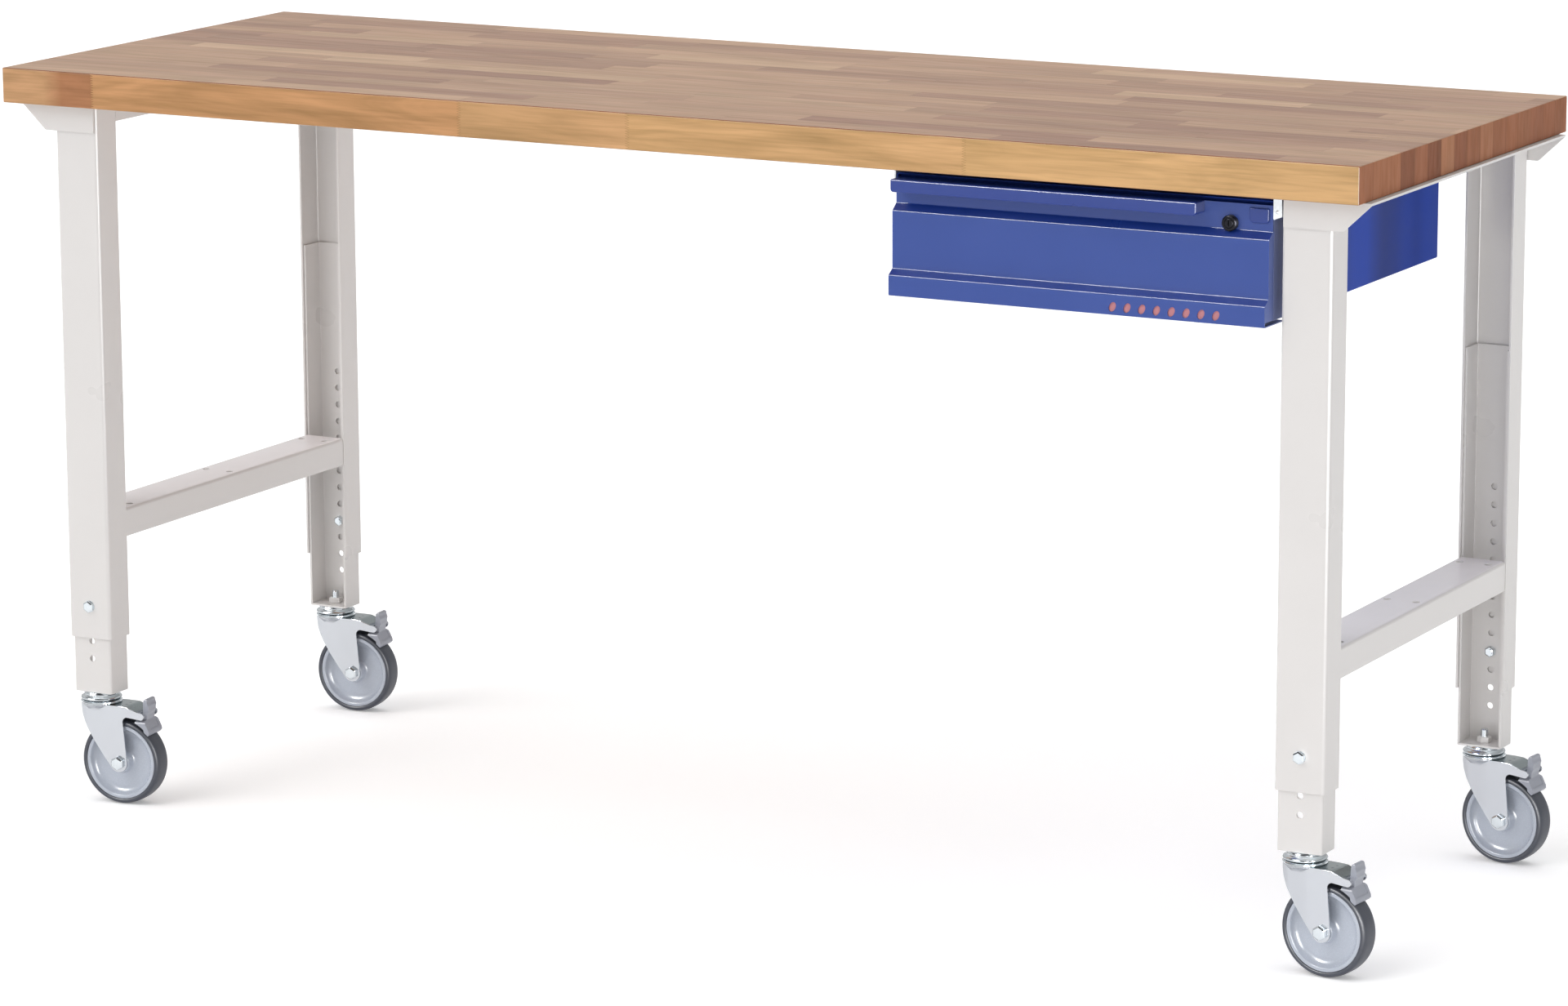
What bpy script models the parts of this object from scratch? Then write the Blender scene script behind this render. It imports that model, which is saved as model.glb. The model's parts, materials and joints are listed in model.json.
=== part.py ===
"""Mobile workbench: a beech worktop on two steel end frames with telescoping legs on braked swivel
castors, and one lockable steel drawer hung under the right-hand end of the top.

Metres, +Z up, +X to the right along the bench, -Y to the front. The origin is on the floor, midway
between the two end frames and midway between the front and rear legs.
"""

import math

import bmesh
import bpy
from mathutils import Matrix

# ---------------------------------------------------------------- driving dimensions
GAP = 0.0003                # air left between pieces that touch

HEIGHT = 1.030              # floor to worktop surface, legs on their fourth hole
TOP_LENGTH = 2.000
TOP_DEPTH = 0.700
TOP_THICK = 0.048
TOP_SHIFT_X = -0.0125       # the worktop overhangs the left end frame more than the right one
TOP_EASE = 0.0015           # chamfer along the worktop's edges

FRAME_SPAN = 1.889          # outside of the left legs to outside of the right legs
LEG_FACE_Y = 0.325          # centre plane to the outer face of the front and rear legs
STEEL = 0.003               # wall of the leg channels, crossbars and top rails
LEG_WIDTH = 0.068
LEG_DEPTH = 0.046
OUTER_LEG_BOTTOM = 0.2355
INNER_LEG_BOTTOM = 0.1575   # underside of the foot plate that the castor bolts to
INNER_LEG_TOP = 0.697
FOOT_PLATE = 0.0025
FOOT_PLATE_LIP = 0.002      # foot plate past the open side of the channel

HOLE_PITCH = 0.025          # height steps
HOLE_COUNT = 13
HOLE_FIRST_Z = 0.206
HOLE_R = 0.0045
BOLT_HOLE_INDEX = 3
BOLT_R = 0.004
BOLT_HEAD_AF = 0.013        # across flats
BOLT_HEAD = 0.0055

CROSSBAR_TOP = 0.415
CROSSBAR_HEIGHT = 0.040
CROSSBAR_WIDTH = 0.066
CROSSBAR_HOLE_R = 0.005
CROSSBAR_HOLE_DX = 0.020
CROSSBAR_HOLE_Y = (-0.250, 0.0, 0.250)

RAIL_WEB = 0.026            # height of the top rail's inner web
WING_HEIGHT = 0.037
WING_REACH = 0.050          # tip of the wing past the outside of the leg
WING_FOOT = 0.014           # lower corner of the wing past the outside of the leg

# castors, measured from the swivel axis (x) and from the floor (z)
WHEEL_R = 0.060
WHEEL_WIDTH = 0.032
TRAIL = 0.035
RIM_R = 0.0525
HUB_R = 0.014
HUB_WIDTH = 0.036
AXLE_R = 0.006
FORK_INSIDE = 0.037
FORK_WALL = 0.0025
FORK_TOP = 0.1413
HEAD_R = 0.029
HEAD_TOP_R = 0.024
KINGPIN_R = 0.006
STEM_R = 0.005
STEM_TOP = 0.178
PEDAL_PIVOT = (0.0715, 0.1288)
PEDAL_PIN_R = 0.0025
ARM_TIP_R = 0.0048
ARM_SLOPE = ((0.0495, FORK_TOP), (0.0660, 0.1344))   # the fork's top falls away to the brake arm
CASTOR_REST_DEG = {"front_left": 6.0, "rear_left": 6.0, "front_right": -6.0, "rear_right": -6.0}

# drawer unit: X is measured from the origin, y from the worktop's front edge, z down from its surface
FRONT_LEFT, FRONT_RIGHT = 0.3469, 0.8641
SHEET = 0.0015
RECESS_Y, PANEL_Y, BAND_Y = 0.026, 0.015, 0.004
FRONT_TOP, RECESS_LOW, PANEL_HIGH = 0.064, 0.093, 0.1015
PANEL_LOW, BAND_HIGH, FRONT_BOTTOM = 0.1755, 0.1825, 0.209
RETURN_FLANGE_Y = 0.062
LIP_RIGHT = 0.7725
LIP_TOP, LIP_BOTTOM = 0.0595, 0.076
TAB_X = (0.834, 0.8595)
TAB_BOTTOM = 0.0825
TAB_PROUD = 0.003
PERF_COUNT, PERF_PITCH, PERF_FIRST_X = 8, 0.020, 0.6588
PERF_DEPTH_Z = 0.1985
PERF_HALF = (0.005, 0.006)

CARCASS_X = (0.3463, 0.8647)
CARCASS_Y = (0.029, 0.565)
CARCASS_TOP, CARCASS_BOTTOM = 0.055, 0.204
CARCASS_FLANGE = 0.012      # inward return along the bottom edges
KEEPER_Y, KEEPER_LOW = 0.036, 0.070

HANGER_THICK = 0.002
HANGER_LOW = 0.0775
HANGER_FLANGE = 0.036
HANGER_Y = (0.026, 0.560)

SLIDE_Z = 0.145             # centre line of the telescopic slides
SLIDE_Y = (0.034, 0.514)
SLIDE_SPACE = 0.0127        # carcass wall to drawer side
DRAWER_TOP, DRAWER_BOTTOM = 0.097, 0.196
DRAWER_Y = (0.0285, 0.540)

LOCK_X, LOCK_Z = 0.8085, 0.085
LOCK_FACE_Y = 0.018
LOCK_R, LOCK_BARREL_R, LOCK_PLUG_R = 0.010, 0.0085, 0.006
LOCK_END_Y = 0.040
CAM_LENGTH, CAM_WIDTH, CAM_THICK = 0.024, 0.010, 0.002

ROUND = 28                  # facets round a tyre
SMALL_ROUND = 20
HOLE_ROUND = 8

UNDERSIDE = HEIGHT - TOP_THICK
LEG_X = FRAME_SPAN / 2 - LEG_WIDTH / 2
BOLT_Z = HOLE_FIRST_Z + BOLT_HOLE_INDEX * HOLE_PITCH


# ---------------------------------------------------------------- materials
def make_material(name, colour, roughness, metallic=0.0):
    material = bpy.data.materials.new(name)
    material.use_nodes = True
    shader = material.node_tree.nodes["Principled BSDF"]
    shader.inputs["Base Color"].default_value = (*colour, 1.0)
    shader.inputs["Roughness"].default_value = roughness
    shader.inputs["Metallic"].default_value = metallic
    material.diffuse_color = (*colour, 1.0)
    return material


def make_materials():
    return {
        "beech": make_material("beech", (0.62, 0.42, 0.26), 0.45),
        "grey_paint": make_material("grey_paint", (0.69, 0.67, 0.65), 0.40),
        "blue_paint": make_material("blue_paint", (0.04, 0.09, 0.36), 0.35),
        "zinc": make_material("zinc", (0.62, 0.64, 0.66), 0.35, 1.0),
        "black_steel": make_material("black_steel", (0.03, 0.03, 0.035), 0.4, 0.6),
        "wheel_plastic": make_material("wheel_plastic", (0.50, 0.55, 0.62), 0.45),
        "tread": make_material("tread", (0.08, 0.09, 0.10), 0.7),
        "pedal_plastic": make_material("pedal_plastic", (0.38, 0.39, 0.41), 0.5),
    }


# ---------------------------------------------------------------- mesh helpers
def add_object(name, mesh_data, material=None, parent=None, location=(0, 0, 0)):
    """Turns a bmesh into a named object with its faces pointing out."""
    bmesh.ops.recalc_face_normals(mesh_data, faces=mesh_data.faces)
    mesh = bpy.data.meshes.new(name)
    mesh_data.to_mesh(mesh)
    mesh_data.free()
    piece = bpy.data.objects.new(name, mesh)
    bpy.context.collection.objects.link(piece)
    if material:
        mesh.materials.append(material)
    piece.location = location
    piece.parent = parent
    return piece


def add_empty(name, location, parent=None, turn_deg=0.0):
    empty = bpy.data.objects.new(name, None)
    bpy.context.collection.objects.link(empty)
    empty.location = location
    empty.rotation_euler = (0, 0, math.radians(turn_deg))
    empty.parent = parent
    return empty


def point_on(axis, u, v, w):
    """A point at w along the axis whose other two coordinates, in X, Y, Z order, are u and v."""
    return {"X": (w, u, v), "Y": (u, w, v), "Z": (u, v, w)}[axis]


def prism(outline, axis, start, end, into=None):
    """An outline of (u, v) points pulled from start to end along an axis."""
    mesh_data = into or bmesh.new()
    near = [mesh_data.verts.new(point_on(axis, u, v, start)) for u, v in outline]
    far = [mesh_data.verts.new(point_on(axis, u, v, end)) for u, v in outline]
    mesh_data.faces.new(near)
    mesh_data.faces.new(list(reversed(far)))
    for i in range(len(outline)):
        j = (i + 1) % len(outline)
        mesh_data.faces.new((near[j], near[i], far[i], far[j]))
    return mesh_data


def box(low, high, into=None):
    corners = [(low[0], low[1]), (high[0], low[1]), (high[0], high[1]), (low[0], high[1])]
    return prism(corners, "Z", low[2], high[2], into)


def arc(centre, radius, start_deg, end_deg, steps):
    """Points along an arc, both ends included."""
    points = []
    for i in range(steps + 1):
        angle = math.radians(start_deg + (end_deg - start_deg) * i / steps)
        points.append((centre[0] + radius * math.cos(angle), centre[1] + radius * math.sin(angle)))
    return points


def ring_outline(centre, radius, facets, phase_deg=0.0, squash=1.0):
    points = []
    for i in range(facets):
        angle = math.radians(phase_deg) + 2 * math.pi * i / facets
        points.append((centre[0] + radius * math.cos(angle), centre[1] + squash * radius * math.sin(angle)))
    return points


def hexagon(centre, across_flats):
    return ring_outline(centre, across_flats / math.sqrt(3), 6, 30.0)


def turned(profile, facets, along_y=False, phase_deg=0.0):
    """Turns (radius, height) points about Z, or about Y. The profile is a loop, or runs axis to axis."""
    mesh_data = bmesh.new()
    rings = []
    for radius, height in profile:
        if radius == 0.0:
            rings.append([mesh_data.verts.new((0, 0, height))] * facets)
            continue
        ring = [mesh_data.verts.new((x, y, height)) for x, y in ring_outline((0, 0), radius, facets, phase_deg)]
        rings.append(ring)
    is_loop = profile[0][0] > 0.0
    pairs = list(zip(rings, rings[1:] + rings[:1])) if is_loop else list(zip(rings, rings[1:]))
    for ring, following in pairs:
        for i in range(facets):
            j = (i + 1) % facets
            corners = []
            for corner in (ring[i], ring[j], following[j], following[i]):
                if corner not in corners:
                    corners.append(corner)
            mesh_data.faces.new(corners)
    if along_y:
        bmesh.ops.rotate(mesh_data, verts=mesh_data.verts, matrix=Matrix.Rotation(-math.pi / 2, 3, "X"))
    return mesh_data


def boolean(target, mesh_data, operation):
    """Cuts a shape from a piece, or joins it on. The shape is in the piece's own coordinates."""
    tool = add_object(f"tool_{len(target.modifiers)}_{target.name}"[:58], mesh_data)
    tool.parent = target
    tool.hide_render = True
    tool.display_type = "WIRE"
    modifier = target.modifiers.new(operation.lower(), "BOOLEAN")
    modifier.operation = operation
    modifier.solver = "EXACT"
    modifier.object = tool


def cut(target, mesh_data):
    boolean(target, mesh_data, "DIFFERENCE")


def join(target, mesh_data):
    boolean(target, mesh_data, "UNION")


def shade_round(piece):
    piece.data.shade_smooth()
    piece.data.set_sharp_from_angle(angle=math.radians(35))


# ---------------------------------------------------------------- worktop
def make_worktop(materials):
    low = (TOP_SHIFT_X - TOP_LENGTH / 2, -TOP_DEPTH / 2, UNDERSIDE)
    high = (TOP_SHIFT_X + TOP_LENGTH / 2, TOP_DEPTH / 2, HEIGHT)
    worktop = add_object("worktop", box(low, high), materials["beech"])
    bevel = worktop.modifiers.new("eased_edges", "BEVEL")
    bevel.width = TOP_EASE
    bevel.segments = 1


# ---------------------------------------------------------------- end frames
def channel_outline(x, front, inset, width, depth, wall):
    """A C-channel seen from above, its web at the front (front=-1) or the rear (front=1) of the bench."""
    web = front * (LEG_FACE_Y - inset)
    web_inside = web - front * wall
    tips = front * (LEG_FACE_Y - inset - depth)
    left, right = x - width / 2, x + width / 2
    return [(left, web), (right, web), (right, tips), (right - wall, tips), (right - wall, web_inside),
            (left + wall, web_inside), (left + wall, tips), (left, tips)]


def make_outer_leg(name, x, front, materials):
    top = UNDERSIDE - GAP - STEEL - GAP
    outline = channel_outline(x, front, 0.0, LEG_WIDTH, LEG_DEPTH, STEEL)
    leg = add_object(name, prism(outline, "Z", OUTER_LEG_BOTTOM, top), materials["grey_paint"])
    web_from, web_to = sorted((front * (LEG_FACE_Y + STEEL), front * (LEG_FACE_Y - 2 * STEEL)))
    cut(leg, prism(ring_outline((x, BOLT_Z), BOLT_R + GAP, HOLE_ROUND), "Y", web_from, web_to))


def make_inner_leg(name, x, front, materials):
    inset = STEEL + GAP
    width = LEG_WIDTH - 2 * inset
    depth = LEG_DEPTH - inset - STEEL
    outline = channel_outline(x, front, inset, width, depth, STEEL)
    leg = add_object(name, prism(outline, "Z", INNER_LEG_BOTTOM, INNER_LEG_TOP), materials["grey_paint"])
    plate_web = front * (LEG_FACE_Y - inset)
    plate_lip = front * (LEG_FACE_Y - inset - depth - FOOT_PLATE_LIP)
    plate_y = sorted((plate_web, plate_lip))
    plate_low = (x - width / 2, plate_y[0], INNER_LEG_BOTTOM)
    plate_high = (x + width / 2, plate_y[1], INNER_LEG_BOTTOM + FOOT_PLATE)
    join(leg, box(plate_low, plate_high))
    web_from, web_to = sorted((front * LEG_FACE_Y, front * (LEG_FACE_Y - 4 * STEEL)))
    holes = bmesh.new()
    for i in range(HOLE_COUNT):
        centre = (x, HOLE_FIRST_Z + i * HOLE_PITCH)
        prism(ring_outline(centre, HOLE_R, HOLE_ROUND), "Y", web_from, web_to, holes)
    cut(leg, holes)
    stem_hole = ring_outline((x, castor_y(front)), STEM_R + GAP, SMALL_ROUND)
    cut(leg, prism(stem_hole, "Z", INNER_LEG_BOTTOM - STEEL, INNER_LEG_BOTTOM + 2 * STEEL))


def make_leg_bolt(name, x, front, materials):
    """A hexagon bolt through the webs of both channels, its head outside."""
    outside = front * (LEG_FACE_Y + GAP)
    head_end = front * (LEG_FACE_Y + GAP + BOLT_HEAD)
    shank_end = front * (LEG_FACE_Y - 4 * STEEL)
    bolt = add_object(name, prism(hexagon((x, BOLT_Z), BOLT_HEAD_AF), "Y", outside, head_end), materials["zinc"])
    shank_start = front * (LEG_FACE_Y + GAP + BOLT_HEAD / 2)
    join(bolt, prism(ring_outline((x, BOLT_Z), BOLT_R, HOLE_ROUND), "Y", shank_start, shank_end))


def make_crossbar(name, x, materials):
    """An inverted U between the open sides of the two outer legs, with three pairs of fixing holes."""
    reach = LEG_FACE_Y - LEG_DEPTH - GAP
    half, low = CROSSBAR_WIDTH / 2, CROSSBAR_TOP - CROSSBAR_HEIGHT
    outline = [(x - half, low), (x - half, CROSSBAR_TOP), (x + half, CROSSBAR_TOP), (x + half, low),
               (x + half - STEEL, low), (x + half - STEEL, CROSSBAR_TOP - STEEL),
               (x - half + STEEL, CROSSBAR_TOP - STEEL), (x - half + STEEL, low)]
    bar = add_object(name, prism(outline, "Y", -reach, reach), materials["grey_paint"])
    holes = bmesh.new()
    for y in CROSSBAR_HOLE_Y:
        for dx in (-CROSSBAR_HOLE_DX, CROSSBAR_HOLE_DX):
            hole = ring_outline((x + dx, y), CROSSBAR_HOLE_R, HOLE_ROUND)
            prism(hole, "Z", CROSSBAR_TOP - 2 * STEEL, CROSSBAR_TOP + STEEL, holes)
    cut(bar, holes)


def make_top_rail(name, side, materials):
    """The plate under the worktop's end, with its inner web and a wing-shaped plate at each leg."""
    inner = side * (LEG_X - LEG_WIDTH / 2)
    outer = side * (LEG_X + LEG_WIDTH / 2)
    tip = outer + side * WING_REACH
    foot = outer + side * WING_FOOT
    top = UNDERSIDE - GAP
    plate_y = LEG_FACE_Y + GAP + STEEL
    x_low, x_high = sorted((inner, tip))
    rail = add_object(name, box((x_low, -plate_y, top - STEEL), (x_high, plate_y, top)), materials["grey_paint"])
    web_x = sorted((inner, inner + side * STEEL))
    web_reach = LEG_FACE_Y - LEG_DEPTH - GAP
    join(rail, box((web_x[0], -web_reach, UNDERSIDE - RAIL_WEB), (web_x[1], web_reach, top)))
    wing = [(inner + side * STEEL, top), (tip, top), (tip, top - STEEL),
            (foot, UNDERSIDE - WING_HEIGHT), (inner + side * STEEL, UNDERSIDE - WING_HEIGHT)]
    wings = bmesh.new()
    for front in (-1, 1):
        prism(wing, "Y", front * (LEG_FACE_Y + GAP), front * plate_y, wings)
    join(rail, wings)


def make_end_frame(side_name, side, materials):
    x = side * LEG_X
    for front_name, front in (("front", -1), ("rear", 1)):
        corner = f"{front_name}_{side_name}"
        make_outer_leg(f"{corner}_outer_leg", x, front, materials)
        make_inner_leg(f"{corner}_inner_leg", x, front, materials)
        make_leg_bolt(f"{corner}_height_bolt", x, front, materials)
        make_castor(corner, x, castor_y(front), materials)
    make_crossbar(f"{side_name}_crossbar", x, materials)
    make_top_rail(f"{side_name}_top_rail", side, materials)


# ---------------------------------------------------------------- castors
def castor_y(front):
    return front * (LEG_FACE_Y - LEG_DEPTH / 2)


def fork_outline():
    """Side view of the fork, from its leading top corner round the axle to the brake arm."""
    axle = (TRAIL, WHEEL_R)
    outline = [(-0.024, FORK_TOP), (-0.0236, 0.133), (-0.0200, 0.1210), (-0.0070, 0.0965)]
    outline += arc(axle, 0.0132, 210, 365, 7)
    outline += arc((0.0505, 0.1190), 0.0073, 180, 95, 3)
    outline += arc(PEDAL_PIVOT, ARM_TIP_R, -100, 60, 5)
    outline += [ARM_SLOPE[1], ARM_SLOPE[0]]
    return outline


def make_fork(name, axis, materials):
    half = FORK_INSIDE / 2 + FORK_WALL
    fork = add_object(name, prism(fork_outline(), "Y", -half, half), materials["zinc"], axis)
    hollow = [(-0.040, 0.030), (0.100, 0.030), (0.100, 0.160), (0.0630, 0.160), (0.0630, 0.1330),
              (ARM_SLOPE[0][0] - 0.0008, FORK_TOP - FORK_WALL), (-0.040, FORK_TOP - FORK_WALL)]
    cut(fork, prism(hollow, "Y", -FORK_INSIDE / 2, FORK_INSIDE / 2))
    raceway = [(HEAD_R - 0.002, FORK_TOP - 0.002), (HEAD_R, FORK_TOP), (HEAD_R, FORK_TOP + 0.003),
               (HEAD_R - 0.003, FORK_TOP + 0.0045), (KINGPIN_R + GAP, FORK_TOP + 0.0045),
               (KINGPIN_R + GAP, FORK_TOP - 0.002)]
    join(fork, turned(raceway, SMALL_ROUND))
    kingpin_hole = ring_outline((0, 0), KINGPIN_R + GAP, SMALL_ROUND)
    cut(fork, prism(kingpin_hole, "Z", FORK_TOP - 0.010, FORK_TOP + 0.010))
    cut(fork, prism(ring_outline((TRAIL, WHEEL_R), AXLE_R + GAP, SMALL_ROUND), "Y", -0.03, 0.03))
    cut(fork, prism(ring_outline(PEDAL_PIVOT, PEDAL_PIN_R + GAP, HOLE_ROUND), "Y", -0.03, 0.03))


def make_swivel_head(name, axis, materials):
    """Upper raceway, threaded stem above it and riveted kingpin below it, all fixed to the leg."""
    ring_low = FORK_TOP + 0.0045 + GAP
    plate_low = FORK_TOP - FORK_WALL - GAP
    profile = [(0.0, plate_low - 0.003), (0.0085, plate_low - 0.003), (0.0095, plate_low), (KINGPIN_R, plate_low),
               (KINGPIN_R, ring_low), (HEAD_R - 0.003, ring_low), (HEAD_R, ring_low + 0.0015),
               (HEAD_R, ring_low + 0.003), (HEAD_TOP_R, INNER_LEG_BOTTOM - GAP), (STEM_R, INNER_LEG_BOTTOM - GAP),
               (STEM_R, STEM_TOP - 0.001), (STEM_R - 0.001, STEM_TOP), (0.0, STEM_TOP)]
    shade_round(add_object(name, turned(profile, SMALL_ROUND), materials["zinc"], axis))


def make_stem_nut(name, axis, materials):
    low = INNER_LEG_BOTTOM + FOOT_PLATE + GAP
    nut = add_object(name, prism(hexagon((0, 0), 0.017), "Z", low, low + 0.008), materials["grey_paint"], axis)
    cut(nut, prism(ring_outline((0, 0), STEM_R + GAP, SMALL_ROUND), "Z", low - 0.01, low + 0.02))


def make_wheel(corner, axis, materials):
    """Plastic wheel centre with a recessed web, and the tyre round it. Both turn on the axle."""
    axle = add_empty(f"{corner}_wheel_axis", (TRAIL, 0, WHEEL_R), axis)
    rim_half, web_half, hub_half = 0.0145, 0.004, HUB_WIDTH / 2
    centre = [(AXLE_R + GAP, -hub_half), (HUB_R, -hub_half), (HUB_R + 0.003, -web_half), (0.044, -web_half),
              (0.048, -rim_half), (RIM_R, -rim_half), (RIM_R, rim_half), (0.048, rim_half), (0.044, web_half),
              (HUB_R + 0.003, web_half), (HUB_R, hub_half), (AXLE_R + GAP, hub_half)]
    shade_round(add_object(f"{corner}_wheel_centre", turned(centre, SMALL_ROUND, True),
                           materials["wheel_plastic"], axle))
    flat_down = 180.0 / ROUND
    spread = 1 / math.cos(math.radians(flat_down))
    inner, half = (RIM_R + GAP) * spread, WHEEL_WIDTH / 2
    outer = WHEEL_R * spread
    tyre = [(inner, -half + 0.001), (outer - 0.005, -half), (outer - 0.0015, -half + 0.004), (outer, -0.006),
            (outer, 0.006), (outer - 0.0015, half - 0.004), (outer - 0.005, half), (inner, half - 0.001)]
    shade_round(add_object(f"{corner}_tyre", turned(tyre, ROUND, True, flat_down), materials["tread"], axle))


def make_axle_bolt(name, axis, materials):
    half = FORK_INSIDE / 2 + FORK_WALL + GAP
    centre = (TRAIL, WHEEL_R)
    bolt = add_object(name, prism(hexagon(centre, 0.017), "Y", -half - 0.006, -half), materials["zinc"], axis)
    join(bolt, prism(ring_outline(centre, AXLE_R, SMALL_ROUND), "Y", -half - 0.003, half + 0.008))
    join(bolt, prism(hexagon(centre, 0.017), "Y", half, half + 0.006))


def make_pedal(name, axis, materials):
    """Two-lobed brake pedal on trunnions in the fork's arms, shown pressed down in its locked place."""
    pivot = add_empty(f"{name}_axis", (PEDAL_PIVOT[0], 0, PEDAL_PIVOT[1]), axis)
    finger = [(-0.0035, -0.0080), (-0.0035, -0.0015), (-0.0015, 0.0040), (-0.0007, 0.0115), (0.0010, 0.0224),
              (0.0050, 0.0226), (0.0076, 0.0135), (0.0080, 0.0055), (0.0062, -0.0062), (0.0062, -0.0120)]
    pedal = add_object(name, prism(finger, "Y", -0.0125, 0.0125), materials["pedal_plastic"], pivot)
    toe = [(-0.0091, -0.0058), (0.0045, -0.0064), (0.0115, -0.0205), (0.0120, -0.0245), (0.0095, -0.0280),
           (0.0040, -0.0222), (-0.0030, -0.0145), (-0.0091, -0.0090)]
    join(pedal, prism(toe, "Y", -0.0195, 0.0195))
    reach = FORK_INSIDE / 2 + FORK_WALL + 0.001
    join(pedal, prism(ring_outline((0, 0), PEDAL_PIN_R, HOLE_ROUND), "Y", -reach, reach))


def make_castor(corner, x, y, materials):
    axis = add_empty(f"{corner}_swivel_axis", (x, y, 0), None, CASTOR_REST_DEG[corner])
    make_swivel_head(f"{corner}_swivel_head", axis, materials)
    make_stem_nut(f"{corner}_stem_nut", axis, materials)
    make_fork(f"{corner}_fork", axis, materials)
    make_wheel(corner, axis, materials)
    make_axle_bolt(f"{corner}_axle_bolt", axis, materials)
    make_pedal(f"{corner}_brake_pedal", axis, materials)


# ---------------------------------------------------------------- drawer unit
def at_drawer(y, z):
    """World (Y, Z) of a point y behind the worktop's front edge and z below its surface."""
    return (y - TOP_DEPTH / 2, HEIGHT - z)


def drawer_box(x_range, y_range, z_range, into=None):
    """A box given by X, distance behind the front edge and depth below the worktop's surface."""
    y_low, z_high = at_drawer(y_range[0], z_range[0])
    y_high, z_low = at_drawer(y_range[1], z_range[1])
    return box((x_range[0], y_low, z_low), (x_range[1], y_high, z_high), into)


def make_carcass(materials):
    """Steel housing, open in front and below, with a keeper flange for the lock."""
    left, right = CARCASS_X
    front, back = CARCASS_Y
    carcass = add_object("drawer_housing", drawer_box(CARCASS_X, CARCASS_Y, (CARCASS_TOP, CARCASS_BOTTOM)),
                         materials["blue_paint"])
    upper = drawer_box((left + SHEET, right - SHEET), (front - 0.01, back - SHEET),
                       (CARCASS_TOP + SHEET, CARCASS_BOTTOM - SHEET))
    cut(carcass, upper)
    inset = SHEET + CARCASS_FLANGE
    cut(carcass, drawer_box((left + inset, right - inset), (front - 0.01, back - inset),
                            (CARCASS_BOTTOM - 0.01, CARCASS_BOTTOM + 0.01)))
    join(carcass, drawer_box((left + SHEET / 2, right - SHEET / 2), (KEEPER_Y, KEEPER_Y + SHEET),
                             (CARCASS_TOP + SHEET / 2, KEEPER_LOW)))


def make_hanger(name, side_x, inward, materials):
    """Galvanised angle that hangs one side of the housing from the worktop."""
    face = side_x - inward * GAP
    outside = face - inward * HANGER_THICK
    top = UNDERSIDE - GAP
    y_from, y_to = HANGER_Y[0] - TOP_DEPTH / 2, HANGER_Y[1] - TOP_DEPTH / 2
    web = sorted((face, outside))
    hanger = add_object(name, box((web[0], y_from, HEIGHT - HANGER_LOW), (web[1], y_to, top)), materials["zinc"])
    flange = sorted((outside, outside + inward * HANGER_FLANGE))
    join(hanger, box((flange[0], y_from, top - HANGER_THICK), (flange[1], y_to, top)))


def slide_channel(wall_x, inward, web, tip, half_height, wall, opens_inward):
    """Cross-section of one slide member: a C lying on its side, measured inward from the housing wall."""
    back, edge = (web, tip) if opens_inward else (tip, web)
    inside = back + wall if opens_inward else back - wall
    outline = [(back, -half_height), (edge, -half_height), (edge, -half_height + wall),
               (inside, -half_height + wall), (inside, half_height - wall), (edge, half_height - wall),
               (edge, half_height), (back, half_height)]
    return [(wall_x + inward * u, HEIGHT - SLIDE_Z + v) for u, v in outline]


def make_slides(side_name, wall_x, inward, parents, materials):
    """The three members of one telescopic slide: on the housing, between, and on the drawer."""
    y_from, y_to = SLIDE_Y[0] - TOP_DEPTH / 2, SLIDE_Y[1] - TOP_DEPTH / 2
    members = {
        f"{side_name}_slide_fixed": slide_channel(wall_x, inward, GAP, 0.0110, 0.0225, 0.0015, True),
        f"{side_name}_slide_middle": slide_channel(wall_x, inward, 0.0028, 0.0095, 0.0200, 0.0015, True),
        f"{side_name}_slide_drawer": slide_channel(wall_x, inward, 0.0055, SLIDE_SPACE - GAP, 0.0165, 0.0015, False),
    }
    for name, outline in members.items():
        add_object(name, prism(outline, "Y", y_from, y_to), materials["zinc"], parents.get(name))


def make_drawer_body(parent, materials):
    left, right = CARCASS_X[0] + SHEET + SLIDE_SPACE, CARCASS_X[1] - SHEET - SLIDE_SPACE
    body = add_object("drawer_body", drawer_box((left, right), DRAWER_Y, (DRAWER_TOP, DRAWER_BOTTOM)),
                      materials["blue_paint"], parent)
    cut(body, drawer_box((left + SHEET, right - SHEET), (DRAWER_Y[0] + SHEET, DRAWER_Y[1] - SHEET),
                         (DRAWER_TOP - 0.01, DRAWER_BOTTOM - SHEET)))


def front_outline():
    """The front's folded sheet seen from the side, as world (Y, Z) points."""
    face = [(RECESS_Y, FRONT_TOP), (RECESS_Y, RECESS_LOW), (PANEL_Y, PANEL_HIGH), (PANEL_Y, PANEL_LOW),
            (BAND_Y, BAND_HIGH), (BAND_Y, FRONT_BOTTOM), (RETURN_FLANGE_Y, FRONT_BOTTOM)]
    shift = SHEET * 0.45
    back = [(RETURN_FLANGE_Y, FRONT_BOTTOM - SHEET), (BAND_Y + SHEET, FRONT_BOTTOM - SHEET),
            (BAND_Y + SHEET, BAND_HIGH + shift), (PANEL_Y + SHEET, PANEL_LOW + shift),
            (PANEL_Y + SHEET, PANEL_HIGH + shift), (RECESS_Y + SHEET, RECESS_LOW + shift), (RECESS_Y + SHEET, FRONT_TOP)]
    return [at_drawer(y, z) for y, z in face + back]


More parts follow.
